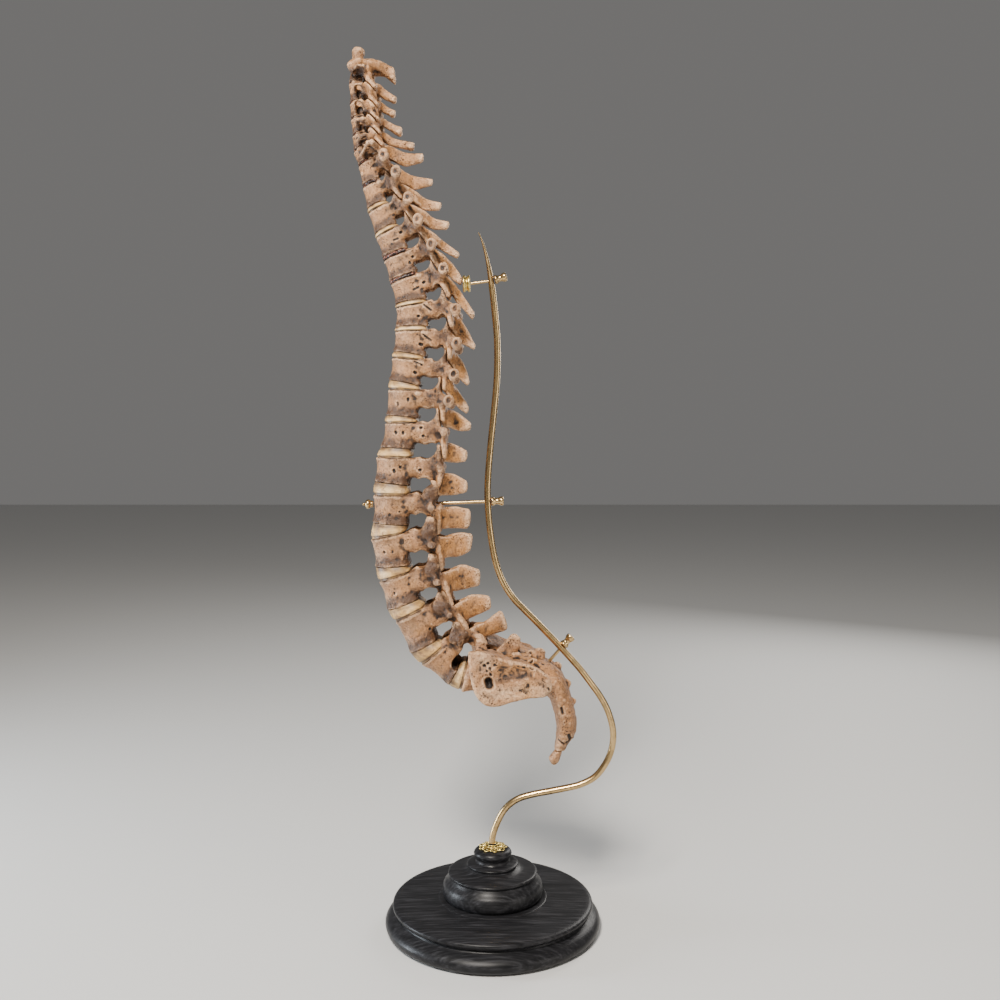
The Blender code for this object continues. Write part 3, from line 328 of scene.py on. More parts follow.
CLAMP_PROFILE = (
    (0, 6.2), (0, 6.2), (6.4, 6.2), (7.2, 5.9), (7.4, 5.2), (7.1, 4.3), (6.3, 3.8), (6.3, 3.8),
    (6.1, 3.1), (6.3, 2.4), (6.3, 2.4), (7.1, 1.9), (7.4, 1), (7.2, 0.3), (6.4, 0), (6.4, 0),
    (0, 0), (0, 0),
)
CLAMP_FRONT = (-26.2, 563.4)
CLAMP_TILT = 2.0
TOP_CROSSING = (-1.3, 566)
MIDDLE_CROSSING = (-4.2, 371.9)
MIDDLE_PIN_START = (-73, 369.4)
LOWER_CROSSING = (60.2, 243.2)
LOWER_PIN_START = (49.6, 231.4)
FRONT_FINIAL_SEAT = (-105.1, 369.6)
TOP_FINIAL_TILT = 16.0
PIN_RADII = {"top": 1.3, "middle": 1.5, "lower": 1.45}
FITTING_GAP = 0.3


class SpineBoneSettings(bpy.types.PropertyGroup):
    grain: bpy.props.FloatProperty(
        name="Surface grain", description="Spacing of the points that carry the bone's surface",
        default=0.00075, min=0.0004, max=0.003, precision=5, unit="LENGTH")
    unevenness: bpy.props.FloatProperty(
        name="Unevenness", description="Height of the bone's lumps and wear",
        default=0.00032, min=0.0, max=0.002, precision=5, unit="LENGTH")
    plate_hollow: bpy.props.FloatProperty(
        name="Plate hollow", description="Depth of the dish in each body's upper and lower plate",
        default=0.0012, min=0.0, max=0.003, precision=4, unit="LENGTH")
    bone_colour: bpy.props.FloatVectorProperty(
        name="Bone", description="Colour of the clean bone", subtype="COLOR",
        default=(0.335, 0.158, 0.062), min=0.0, max=1.0)
    # The pale colour also paints highlights on the front rims of the lower lumbar bodies.
    pale_colour: bpy.props.FloatVectorProperty(
        name="Worn edges", description="Colour of rubbed rims and ridges", subtype="COLOR",
        default=(0.70, 0.45, 0.265), min=0.0, max=1.0)
    warm_colour: bpy.props.FloatVectorProperty(
        name="Honey stain", description="Colour of the warm stain on the arches", subtype="COLOR",
        default=(0.50, 0.215, 0.04), min=0.0, max=1.0)
    # Dark colour for painted shade in hollows, holes and cracks, with old dirt, and for the pores.
    dark_colour: bpy.props.FloatVectorProperty(
        name="Crevices", description="Colour of the old dirt in hollows and holes", subtype="COLOR",
        default=(0.018, 0.008, 0.004), min=0.0, max=1.0)
    disc_colour: bpy.props.FloatVectorProperty(
        name="Discs", description="Colour of the discs between the bodies", subtype="COLOR",
        default=(0.58, 0.34, 0.12), min=0.0, max=1.0)


class SpineStandSettings(bpy.types.PropertyGroup):
    rod_radius: bpy.props.FloatProperty(
        name="Rod radius", description="Radius of the brass rod below its taper",
        default=0.00286, min=0.001, max=0.01, precision=4, unit="LENGTH")
    brass_colour: bpy.props.FloatVectorProperty(
        name="Brass", description="Colour of the rod, pins and finials", subtype="COLOR",
        default=(0.55, 0.38, 0.18), min=0.0, max=1.0)
    gilt_colour: bpy.props.FloatVectorProperty(
        name="Gilt brass", description="Colour of the clamp and the collar", subtype="COLOR",
        default=(0.86, 0.66, 0.22), min=0.0, max=1.0)
    wood_colour: bpy.props.FloatVectorProperty(
        name="Black wood", description="Colour of the turned base", subtype="COLOR",
        default=(0.013, 0.013, 0.0145), min=0.0, max=1.0)


class SpineStudioSettings(bpy.types.PropertyGroup):
    camera_distance: bpy.props.FloatProperty(
        name="Camera distance", description="From the camera to the column's middle plane",
        default=0.924, min=0.2, max=5.0, unit="LENGTH")
    camera_height: bpy.props.FloatProperty(
        name="Camera height", description="Height of the camera over the floor",
        default=0.426, min=0.05, max=2.0, unit="LENGTH")
    camera_side: bpy.props.FloatProperty(
        name="Camera side shift", description="How far the camera stands behind the rod's foot",
        default=0.0064, min=-0.5, max=0.5, precision=4, unit="LENGTH")
    lens: bpy.props.FloatProperty(
        name="Lens", description="Focal length in millimetres", default=37.8, min=10.0, max=200.0)
    floor_colour: bpy.props.FloatVectorProperty(
        name="Floor", description="Colour of the plain floor", subtype="COLOR",
        default=(0.62, 0.62, 0.61), min=0.0, max=1.0)


def region_of(name):
    """The part of the column that a level's name starts with."""
    return name.split("_")[0]


def mid(first, second, share=0.5):
    """What lies this share of the way from the first to the second."""
    return first + (second - first) * share


def in_side(x, z):
    """A point or direction of the middle plane."""
    return Vector((x, 0, z))


def quarter_turn(direction):
    """The direction turned a quarter round in the side view: upward from a rearward one."""
    return Vector((-direction.z, 0, direction.x))


def angles(sides):
    """The angles of a closed ring's points, none of them on an axis."""
    return [2 * math.pi * (step + 0.5) / sides for step in range(sides)]


def smoothed(stations, steps):
    """Tuples of numbers eased along a curve through them. A station given twice is a corner."""
    values = np.array(stations, float)
    ends = np.vstack([2 * values[0] - values[1], values, 2 * values[-1] - values[-2]])
    result = []
    for index in range(len(values) - 1):
        a, b, c, d = ends[index:index + 4]
        if np.allclose(b, c):
            continue
        if np.allclose(a, b):
            a = 2 * b - c
        if np.allclose(c, d):
            d = 2 * c - b
        for step in range(steps):
            t = step / steps
            result.append(0.5 * (2 * b + (c - a) * t + (2 * a - 5 * b + 4 * c - d) * t * t
                                 + (3 * b - a - 3 * c + d) * t ** 3))
    result.append(values[-1])
    return result


def oval(centre, up, side, sides, fullness=1.0):
    """A closed ring of points round centre. Fullness under 1 squares it off."""
    points = []
    for angle in angles(sides):
        across, along = math.cos(angle), math.sin(angle)
        reach = (abs(across) ** (2 / fullness) + abs(along) ** (2 / fullness)) ** (-fullness / 2)
        points.append(centre + side * across * reach + up * along * reach)
    return points


def loft(rings):
    """A closed bmesh through rings that hold equal numbers of points in millimetres."""
    bm = bmesh.new()
    ring = bmesh.ops.create_circle(bm, cap_ends=True, segments=len(rings[0]), radius=1.0)["verts"]
    for vert, point in zip(ring, rings[0]):
        vert.co = point * MM
    face = ring[0].link_faces[0]
    for number, points in enumerate(rings[1:]):
        places = {tuple(vert.co): index for index, vert in enumerate(ring)}
        made = bmesh.ops.extrude_face_region(bm, geom=[face])["geom"]
        if number:
            bm.faces.remove(face)
        face = [item for item in made if isinstance(item, bmesh.types.BMFace)][0]
        ring = sorted(face.verts, key=lambda vert: places[tuple(vert.co)])
        for vert, point in zip(ring, points):
            vert.co = point * MM
    bmesh.ops.recalc_face_normals(bm, faces=bm.faces)
    return bm


def limb(stations, up=UP, sides=16, fullness=1.0, steps=4, blunt=0.6):
    """A rounded loft along stations of (x, y, z, radius upward, radius sideways)."""
    path = smoothed(stations, steps)
    centres = [Vector(station[:3]) for station in path]
    rings = []
    for index, centre in enumerate(centres):
        before = centres[max(index - 1, 0)]
        after = centres[min(index + 1, len(centres) - 1)]
        along = (after - before).normalized()
        lift = (up - along * up.dot(along)).normalized()
        side = along.cross(lift)
        rings.append(oval(centre, lift * path[index][3], side * path[index][4], sides, fullness))
    last = rings[-1]
    reach = min(path[-1][3:]) * blunt
    for degrees in (30, 58, 78):
        shrink = math.cos(math.radians(degrees))
        ahead = along * reach * math.sin(math.radians(degrees))
        rings.append([centres[-1] + (point - centres[-1]) * shrink + ahead for point in last])
    return loft(rings)


def ball(x, y, z, radius, stretch=(1, 1, 1)):
    """A stretched ball, with its place and radius in millimetres."""
    bm = bmesh.new()
    bmesh.ops.create_uvsphere(bm, u_segments=16, v_segments=10, radius=radius * MM)
    bmesh.ops.scale(bm, vec=stretch, verts=bm.verts)
    bmesh.ops.translate(bm, vec=Vector((x, y, z)) * MM, verts=bm.verts)
    return bm


def keep_side(bm, point, normal):
    """Cuts bm with a plane and keeps what lies on the side its normal points to."""
    geometry = bm.verts[:] + bm.edges[:] + bm.faces[:]
    bmesh.ops.bisect_plane(
        bm, geom=geometry, dist=1e-7, plane_co=point * MM, plane_no=normal, clear_inner=True)
    rim = [edge for edge in bm.edges if edge.is_boundary]
    if rim:
        bmesh.ops.holes_fill(bm, edges=rim, sides=0)
    bmesh.ops.recalc_face_normals(bm, faces=bm.faces)
    return bm


def gathered(pieces):
    """One bmesh of many, which are freed."""
    whole = bmesh.new()
    for piece in pieces:
        mesh = bpy.data.meshes.new("piece")
        piece.to_mesh(mesh)
        piece.free()
        whole.from_mesh(mesh)
        bpy.data.meshes.remove(mesh)
    return whole


def object_of(name, bm):
    """A scene object that takes over the bmesh."""
    mesh = bpy.data.meshes.new(name)
    bm.to_mesh(mesh)
    bm.free()
    obj = bpy.data.objects.new(name, mesh)
    bpy.context.scene.collection.objects.link(obj)
    return obj


def drop(obj):
    """Removes a helper object with its mesh."""
    mesh = obj.data
    bpy.data.objects.remove(obj)
    bpy.data.meshes.remove(mesh)


def add_remesh(obj, size):
    """Wraps the object in an even skin of this spacing."""
    remesh = obj.modifiers.new("skin", "REMESH")
    remesh.mode = "VOXEL"
    remesh.voxel_size = size
    remesh.use_smooth_shade = True


def add_swell(obj, reach):
    """Moves the skin outward by this reach, or inward below 0."""
    swell = obj.modifiers.new("swell", "DISPLACE")
    swell.direction = "NORMAL"
    swell.mid_level = 0.0
    swell.strength = reach


def skinned(name, pieces, cutters, size, fillet=0.0):
    """One even skin over overlapping closed pieces, with the cutters taken out of it.

    Swollen by the fillet and shrunk again, the skin rounds the corners between its pieces.
    """
    rough = object_of(name, gathered(pieces))
    add_remesh(rough, size)
    if fillet:
        add_swell(rough, fillet)
        add_remesh(rough, size)
        add_swell(rough, -fillet)
        add_remesh(rough, size)
    knife = None
    if cutters:
        knife = object_of(name + "_cutter", gathered(cutters))
        cut = rough.modifiers.new("cut", "BOOLEAN")
        cut.operation = "DIFFERENCE"
        cut.solver = "MANIFOLD"
        cut.object = knife
        add_remesh(rough, size)
    bpy.context.view_layer.update()
    graph = bpy.context.evaluated_depsgraph_get()
    mesh = bpy.data.meshes.new_from_object(rough.evaluated_get(graph))
    drop(rough)
    if knife:
        drop(knife)
    mesh.name = name
    obj = bpy.data.objects.new(name, mesh)
    bpy.context.scene.collection.objects.link(obj)
    return obj


def points_of(mesh):
    """The mesh's points in millimetres."""
    flat = np.empty(len(mesh.vertices) * 3)
    mesh.vertices.foreach_get("co", flat)
    return flat.reshape(-1, 3) / MM


def set_points(mesh, points):
    """Puts points in millimetres back into the mesh."""
    mesh.vertices.foreach_set("co", (points * MM).ravel())
    mesh.update()


def normals_of(mesh):
    flat = np.empty(len(mesh.vertices) * 3)
    mesh.vertices.foreach_get("normal", flat)
    return flat.reshape(-1, 3)


def edges_of(mesh):
    flat = np.empty(len(mesh.edges) * 2, np.int64)
    mesh.edges.foreach_get("vertices", flat)
    return flat.reshape(-1, 2)


def neighbour_mean(values, edges, count):
    """For each point, the mean of the values at its neighbours."""
    first, second = edges[:, 0], edges[:, 1]
    ties = np.maximum(np.bincount(first, minlength=count) + np.bincount(second, minlength=count), 1)
    total = np.empty_like(values)
    for axis in range(values.shape[1]):
        column = values[:, axis]
        forward = np.bincount(first, column[second], count)
        total[:, axis] = (forward + np.bincount(second, column[first], count)) / ties
    return total


def relaxed(values, edges, rounds, pull=0.5, push=0.0):
    """Values eased toward their neighbours. A push under 0 keeps the form from shrinking."""
    count = len(values)
    for _ in range(rounds):
        values = values + pull * (neighbour_mean(values, edges, count) - values)
        if push:
            values = values + push * (neighbour_mean(values, edges, count) - values)
    return values


def lumps(points, size, seed):
    """Smooth noise from -1 to 1 with lumps of about this size in millimetres."""
    grid = points / size + seed * 13.7
    cell = np.floor(grid).astype(np.int64)
    part = grid - cell
    ease = part * part * (3 - 2 * part)
    value = np.zeros(len(points))
    for corner in range(8):
        step = np.array([corner & 1, corner >> 1 & 1, corner >> 2 & 1])
        place = cell + step
        mix = (place[:, 0] * 73856093 ^ place[:, 1] * 19349663 ^ place[:, 2] * 83492791) & 0xFFFFFF
        draw = (mix * 1103515245 + 12345 >> 8 & 0xFFFF) / 32767.5 - 1
        weight = np.prod(np.where(step == 1, ease, 1 - ease), axis=1)
        value += draw * weight
    return value


def soft_spot(points, centre, radius):
    """1 at the centre, fading to 0 at the radius; both sides of the body alike."""
    mirrored = np.column_stack([points[:, 0], np.abs(points[:, 1]), points[:, 2]])
    away = np.linalg.norm(mirrored - np.array(centre), axis=1) / radius
    return np.clip(1 - away, 0, 1) ** 0.7


def segment_distance(points, start, end):
    """Distance in the side view from a segment between two (x, z) places."""
    flat = points[:, [0, 2]]
    start = np.array(start)
    along = np.array(end) - start
    length = along @ along
    share = np.clip((flat - start) @ along / length, 0, 1) if length else np.zeros(len(flat))
    return np.linalg.norm(flat - start - share[:, None] * along, axis=1)


def put_attribute(mesh, name, values):
    """Stores a value from 0 to 1 for each point, for the materials to read."""
    made = mesh.attributes.new(name, "FLOAT", "POINT")
    made.data.foreach_set("value", np.clip(values, 0, 1))


def marked_amount(kind, points, spots, bands):
    """How strongly each point is marked by the spots and bands of this kind: stain, dirt, painted shade or
    painted highlight.
    """
    amount = np.zeros(len(points))
    for spot_kind, centre, radius, strength in spots:
        if spot_kind == kind:
            amount = np.maximum(amount, strength * soft_spot(points, centre, radius))
    for band_kind, start, end, reach, strength in bands:
        if band_kind == kind:
            away = np.clip(1 - segment_distance(points, start, end) / reach, 0, 1)
            amount = np.maximum(amount, strength * away ** 0.6)
    return amount


def along_normals(points, normals, values):
    """How far the values lie from the points, measured along the normals."""
    return np.einsum("ij,ij->i", values - points, normals)


def weathered(obj, seed, marks, spots, settings, roughness=1.0, hollows=(), bands=()):
    """Eases, wears and pits a bone's skin and stores where it is hollow, stained, rubbed or marked for
    painted shade and highlights.
    """
    mesh = obj.data
    edges = edges_of(mesh)
    points = relaxed(points_of(mesh), edges, 3, 0.55, -0.5)
    set_points(mesh, points)
    normals = normals_of(mesh)
    for x, z, reach, depth in hollows:
        away = segment_distance(points, (x, z), (x, z)) / reach
        dent = np.clip(1 - away * away, 0, 1) ** 2 * np.clip(np.abs(normals[:, 1]) * 1.6 - 0.4, 0, 1)
        points = points - normals * (dent * depth)[:, None]
    height = settings.unevenness / MM * roughness
    stain_and_shade = {kind: marked_amount(kind, points, spots, bands) for kind in ("soot_and_shade", "warm", "pale")}
    wear = 1.2 * lumps(points, 10, seed) + 0.8 * lumps(points, 4.6, seed + 1)
    crust = 0.55 * lumps(points, 2.4, seed + 2) - 0.5 * np.abs(lumps(points, 3.3, seed + 3))
    wear = wear + crust * (0.8 + 1.1 * np.clip(stain_and_shade["soot_and_shade"], 0, 1))
    points = points + normals * (wear * height)[:, None]
    pit = np.zeros(len(points))
    facing = np.abs(normals[:, 1])
    for x1, z1, x2, z2, radius, depth in marks:
        away = segment_distance(points, (x1, z1), (x2, z2)) / radius
        bowl = np.where((away < BOWL_REACH) & (facing > 0.35), np.clip(BOWL_REACH - away, 0, 1), 0)
        points = points - normals * (bowl * depth)[:, None]
        pit = np.maximum(pit, np.clip(bowl * 1.6, 0, 1) * min(depth / 1.5, 1))
    set_points(mesh, points)
    normals = normals_of(mesh)
    fine = along_normals(points, normals, relaxed(points, edges, FINE_ROUNDS))
    broad = along_normals(points, normals, relaxed(points, edges, BROAD_ROUNDS))
    # The hollow value lets the material paint shade into hollows and pale the convex edges as rubbed wear.
    hollow = 0.5 + 1.6 * fine + 0.34 * broad / roughness ** 2
    put_attribute(mesh, "hollow", relaxed(hollow[:, None], edges, 1)[:, 0])
    put_attribute(mesh, "pit", pit)
    break_up = 0.8 + 0.45 * lumps(points, 5, seed + 5)
    for kind, amount in stain_and_shade.items():
        put_attribute(mesh, kind, amount * break_up)
    mesh.shade_smooth()


def plate(name, level):
    """Front point and rearward direction of a body's section; level 0 is its top plate."""
    top, bottom, rises, _, _ = BODIES[name]
    rise = math.radians(rises[0] + (rises[1] - rises[0]) * level)
    return mid(in_side(*top), in_side(*bottom), level), in_side(math.cos(rise), math.sin(rise))


def depth_at(name, level):
    """A body's depth from front to rear at this level."""
    top_depth, bottom_depth = BODIES[name][3]
    return top_depth + (bottom_depth - top_depth) * level


def share_of_depth(ahead):
    """How far back an outline point lies; the rear wall is fuller and hollow in its middle."""
    if ahead > 0:
        return 0.5 - 0.5 * ahead
    return 0.5 + 0.5 * abs(ahead) ** 0.6 - 0.07 * ahead ** 4


def body_outline(name, level, shrink=0.0, sides=44, waist=0.1):
    """The kidney-shaped outline of a body at this level, drawn in by shrink."""
    front, rearward = plate(name, level)
    depth = depth_at(name, level)
    pinch = waist * (1 - abs(2 * level - 1) ** 2.3)
    depth_here = depth * (1 - pinch) - 2 * shrink
    half_width = BODIES[name][4] / 2 * (1 - pinch * 1.3) - shrink
    start = front + rearward * (depth * pinch * 0.62 + shrink)
    points = []
    for angle in angles(sides):
        share = share_of_depth(math.cos(angle))
        across = math.copysign(abs(math.sin(angle)) ** 0.85, math.sin(angle))
        points.append(start + rearward * depth_here * share + Vector((0, half_width * across, 0)))
    return points


def body(name, hollow):
    """A waisted body with rims round its two dished plates."""
    width = BODIES[name][4]
    dish = ((width * 0.36, hollow), (width * 0.26, hollow * 0.8), (width * 0.14, hollow * 0.35),
            (1.3, 0.1), (0.45, 0.0))
    _, top_rear = plate(name, 0.0)
    _, bottom_rear = plate(name, 1.0)
    down = -quarter_turn(top_rear)
    up = quarter_turn(bottom_rear)
    rings = [[point + down * sink for point in body_outline(name, 0.0, shrink)] for shrink, sink in dish]
    for level in BODY_LEVELS:
        rings.append(body_outline(name, level))
    for shrink, sink in reversed(dish):
        rings.append([point + up * sink for point in body_outline(name, 1.0, shrink)])
    return loft(rings)


def facet_frame(name, side):
    """Centre, the normal that points from the lower bone to the upper, and upward direction."""
    x, z, looks_up, spread = FACETS[name]
    tilt = math.radians(looks_up)
    turn = math.radians(FACET_TURN if name in SIDEWAYS_FACETS else 0)
    ahead = math.cos(turn)
    normal = Vector((ahead * math.cos(tilt), -side * math.sin(turn), ahead * math.sin(tilt)))
    return Vector((x, side * spread, z)), normal, in_side(-math.sin(tilt), math.cos(tilt))


def clear_of(piece, joint, way):
    """Cuts a piece back to the joint's face; way is 1 for the upper bone and -1 for the lower."""
    centre, normal, _ = joint
    return keep_side(piece, centre + normal * way * JOINT_GAP / 2, normal * way)


def pillar(name, side):
    """The place where pedicle, lamina and processes meet."""
    below = facet_frame(name, side)[0]
    index = LEVELS.index(name)
    if index == 0:
        return below + Vector((-4, -side, 9))
    return mid(facet_frame(LEVELS[index - 1], side)[0], below)


def upper_process(name, side):
    """The superior articular process, cut flat against the bone above, with its rear knob."""
    above = LEVELS[LEVELS.index(name) - 1]
    half_height, half_width, thick = REGIONS[region_of(above)]["facet"]
    centre, normal, upward = facet_frame(above, side)
    root = pillar(name, side)
    inward = normal * (thick / 2)
    low = centre - inward - upward * half_height * 0.4
    high = centre - inward + upward * half_height * 0.85
    stations = [(*(root - Vector((1, 0, 0))), thick * 0.75, half_width * 0.85),
                (*low, thick * 0.85, half_width * 1.02), (*high, thick * 0.62, half_width * 0.86)]
    made = [limb(stations, up=normal, blunt=0.45)]
    if region_of(name) == "lumbar":
        lump = centre + Vector((-2.5, side * 4.5, -5.5))
        made.append(ball(*lump, 7.6, (1, 0.75, 0.95)))
        made.append(ball(*(low - normal * 1.5 + Vector((3.5, side * 3.4, 0.5))), 3.6))
    elif region_of(name) == "thoracic":
        start = root + Vector((-1, 0, 2))
        made.append(limb([(*start, 4.6, 4.8), (*(low + upward), 3.6, 4.6)], up=normal, blunt=0.5))
    for piece in made:
        keep_side(piece, centre - normal * JOINT_GAP / 2, -normal)
    return made


def lower_process(name, side):
    """The inferior articular process, cut flat against the bone below."""
    half_height, half_width, thick = REGIONS[region_of(name)]["facet"]
    if name in LOIN[-2:]:
        half_height = 4.5
    centre, normal, upward = facet_frame(name, side)
    root = pillar(name, side) + Vector((2.5, -side * 1.5, 0))
    inward = normal * (thick / 2)
    high = centre + inward + upward * half_height * 0.4
    low = centre + inward - upward * half_height
    stations = [(*root, thick * 0.62, half_width * 0.72), (*high, thick * 0.75, half_width),
                (*low, thick * 0.5, half_width * 0.8)]
    return keep_side(limb(stations, up=normal, blunt=0.4), centre + normal * JOINT_GAP / 2, normal)


def opening_cutters(name, side):
    """Rounded bars that leave the openings above and below an arch."""
    made = []
    index = LEVELS.index(name)
    for number in (index - 1, index):
        if number < 0:
            continue
        upper = LEVELS[number]
        x, z, half_length, half_width, tilt = FORAMINA[upper]
        inner = BODIES[name][4] / 2 - 0.5 if upper in NECK else 3.5
        lean = math.radians(tilt)
        length = in_side(math.cos(lean), math.sin(lean))
        width = quarter_turn(length)
        rings = []
        outer = (FACETS[upper][3] + 5.5, 1.05) if upper in SIDEWAYS_FACETS else (48, 1.35)
        for reach, grown in ((inner, 0.8), (inner + 3, 0.9), (inner + 9, 1.0), outer):
            centre = Vector((x, side * reach, z))
            rings.append(oval(centre, length * half_length * grown, width * half_width * grown, 20))
        made.append(loft(rings))
    return made


def tall_pedicle(name, side):
    """The pedicle of a chest or loin bone, as tall as the openings above and below it allow."""
    above = FORAMINA[LEVELS[LEVELS.index(name) - 1]]
    below = FORAMINA[name]
    half_width = REGIONS[region_of(name)]["pedicle"][1]
    _, rearward = plate(name, 0.4)
    upper = in_side(*above[:2])
    lower = in_side(*below[:2])
    centre = mid(upper, lower)
    half_height = (upper - lower).length / 2 - 4.6
    flank = BODIES[name][4] / 2 * 0.86
    centre.y = side * min(flank - half_width, abs(pillar(name, side).y) + 1)
    start = centre - rearward * 17
    start.y = side * (flank - half_width * 1.35)
    meeting = centre - rearward * 9
    meeting.y = side * (flank - half_width * 1.2)
    end = centre + rearward * 5.5
    end.y = pillar(name, side).y
    stations = [(*start, half_height * 0.6, half_width), (*meeting, half_height * 0.86, half_width * 1.2),
                (*centre, half_height, half_width), (*end, half_height * 0.95, half_width)]
    made = limb(stations, fullness=0.85)
    if name not in SIDEWAYS_FACETS[1:]:
        clear_of(made, facet_frame(LEVELS[LEVELS.index(name) - 1], side), -1)
    return made


def pedicle(name, side):
    """The short bar that joins a body to its pillar."""
    if region_of(name) in ("thoracic", "lumbar"):
        return tall_pedicle(name, side)
    half_height, half_width = REGIONS[region_of(name)]["pedicle"]
    front, rearward = plate(name, 0.36)
    end = pillar(name, side)
    start = front + rearward * (depth_at(name, 0.36) - 7)
    start.y = side * min(BODIES[name][4] / 2 - half_width * 1.1, abs(end.y))
    rise = PEDICLE_LIFT * rearward.z if region_of(name) == "cervical" else 0
    rear = end + Vector((2.5, 0, rise))
    neck = mid(start, rear, 0.55)
    stations = [(*start, half_height * 1.12, half_width * 1.15),
                (*neck, half_height * 0.86, half_width * 0.95),
                (*rear, half_height * 0.8, half_width * 1.05)]
    made = limb(stations)
    index = LEVELS.index(name)
    if index:
        clear_of(made, facet_frame(LEVELS[index - 1], side), -1)
    return made


def spine_station(name, number, inset):
    """Centre of a section of the spinous process set off the midline, and its half height."""
    upper_x, upper_z, lower_x, lower_z = SPINES[name][number]
    half_height = math.hypot(upper_x - lower_x, upper_z - lower_z) / 2
    return Vector(((upper_x + lower_x) / 2, inset, (upper_z + lower_z) / 2)), half_height


def lamina(name, side):
    """The broad sheet from the pillar that runs back into the flank of the spinous process."""
    half_height, half_thick = REGIONS[region_of(name)]["lamina"]
    cervical = region_of(name) in ("axis", "cervical")
    sunk = 3.0 if region_of(name) == "thoracic" else 1.0
    start = pillar(name, side) + in_side(1.5, -sunk)
    root, root_half = spine_station(name, 0, side * (5 if cervical else 7))
    middle, middle_half = spine_station(name, 1, 0)
    share = 0.85 if cervical else 1.05
    end = mid(root, middle, 0.75)
    stations = [(*start, half_height * share, half_thick), (*root, root_half * 0.98, half_thick),
                (*end, mid(root_half, middle_half, 0.75) * 0.85, half_thick * 0.4)]
    made = limb(stations, fullness=0.85)
    if name not in SIDEWAYS_FACETS:
        clear_of(made, facet_frame(name, side), 1)
    return made


def arch_roof(side):
    """The thick upper part of the axis's arch, from its shoulder to the root of its spine."""
    return limb([(-113, side * 12.5, 752.5, 4.5, 3.5), (-104, side * 9.5, 753.5, 4.2, 3.2),
                 (-95, side * 3, 751.5, 5, 3), (-90, 0, 749, 5.5, 2.5)])


def transverse(name, side):
    """The side process. A neck bone's has a front bar, so that a hole stays between."""
    tip_x, tip_z, span = TRANSVERSE[name]
    region = region_of(name)
    radius = REGIONS[region]["tip"]
    if name in FLOATING:
        radius *= 0.8
    tip = Vector((tip_x, side * (span - radius * 0.6), tip_z))
    root = pillar(name, side)
    if region == "lumbar":
        root = root + Vector((-4, side, 0))
        neck = mid(root, tip, 0.5)
        stations = [(*root, radius, radius * 0.85), (*neck, radius * 0.85, radius * 0.6),
                    (*tip, radius * 0.75, radius * 0.5)]
        return [limb(stations)]
    if region == "thoracic":
        root = root + Vector((2, 0, 0))
        neck = mid(root, tip, 0.5)
        outer = tip + Vector((0, side * radius * 0.15, 0))
        stations = [(*root, radius * 0.85, radius * 0.72), (*neck, radius * 0.72, radius * 0.66),
                    (*mid(neck, tip, 0.6), radius, radius * 0.84), (*outer, radius * 1.12, radius * 0.84)]
        return [limb(stations, blunt=0.4)]
    made = [limb([(*root, radius * 0.8, radius * 0.75), (*tip, radius, radius * 0.85)])]
    front, rearward = plate(name, 0.6)
    rib = front + rearward * 6
    rib.y = side * (BODIES[name][4] / 2 - 2)
    lip = tip + Vector((-3.2, 0, -0.6))
    made.append(limb([(*rib, 2, 2), (*mid(rib, lip), 1.7, 1.7), (*lip, 2.3, 2.1)]))
    made.append(limb([(*lip, 1.8, 1.6), (*tip, 1.8, 1.6)]))
    return made


def spinous(name):
    """The rear process, with a thick worn tip. The neck bones' tips are forked."""
    widths = REGIONS[region_of(name)]["spine"]
    rows = []
    for station, half_width in zip(SPINES[name], widths):
        upper = in_side(*station[:2])
        lower = in_side(*station[2:])
        centre = mid(upper, lower)
        broad = 1.3 if region_of(name) == "lumbar" and station is SPINES[name][-1] else 1.0
        rows.append((*(centre - AHEAD * (broad - 1) * 4), *((upper - lower) / 2 * broad), half_width))
    path = smoothed(rows, 6)
    rings = []
    for row in path:
        rings.append(oval(Vector(row[:3]), Vector(row[3:6]), Vector((0, row[6], 0)), 22, 0.82))
    tip = Vector(path[-1][:3])
    outward = (tip - Vector(path[-2][:3])).normalized()
    last = rings[-1]
    roundness = 2.9 if region_of(name) == "lumbar" else 1.7
    for degrees in (15, 30, 45, 60, 75, 85):
        shrink = math.cos(math.radians(degrees))
        reach = outward * roundness * math.sin(math.radians(degrees))
        rings.append([tip + (point - tip) * (0.25 + 0.75 * shrink) + reach for point in last])
    made = [loft(rings)]
    if name in FORKED:
        height = Vector(path[-1][3:6]).length
        for side in (-1, 1):
            fork = tip - outward * 1.2 - UP * height * 0.35
            made.append(ball(fork.x, side * widths[2] * 0.75, fork.z, 2.4, (1.2, 1, 1)))
    return made


def rib_seats(name, side):
    """Low pads at the rear corners of the chest bones' bodies, where the ribs sat."""
    made = []
    for level, size in ((0.1, 3.6), (0.92, 3.0)):
        front, rearward = plate(name, level)
        place = front + rearward * (depth_at(name, level) - 4.5)
        made.append(ball(place.x, side * (BODIES[name][4] / 2 - 3.4), place.z, size, (1.2, 1, 1)))
    return made


def rib_dishes(name, side):
    """The shallow round seat for a rib on the end of a chest bone's side process."""
    if region_of(name) != "thoracic" or name in FLOATING:
        return []
    x, z, span = TRANSVERSE[name]
    return [ball(x - 0.8, side * (span + 1.9), z + 0.6, 4.2, (0.9, 0.9, 1.15))]


def top_hooks(name, side):
    """The raised lips along the sides of a neck body's upper plate."""
    front, rearward = plate(name, 0.0)
    y = side * (BODIES[name][4] / 2 - 1.2)
    ahead = front + rearward * 4
    behind = front + rearward * 12 + UP * 0.8
    return limb([(ahead.x, y, ahead.z - 0.6, 1.6, 1.4), (behind.x, y, behind.z - 0.4, 2, 1.5)])


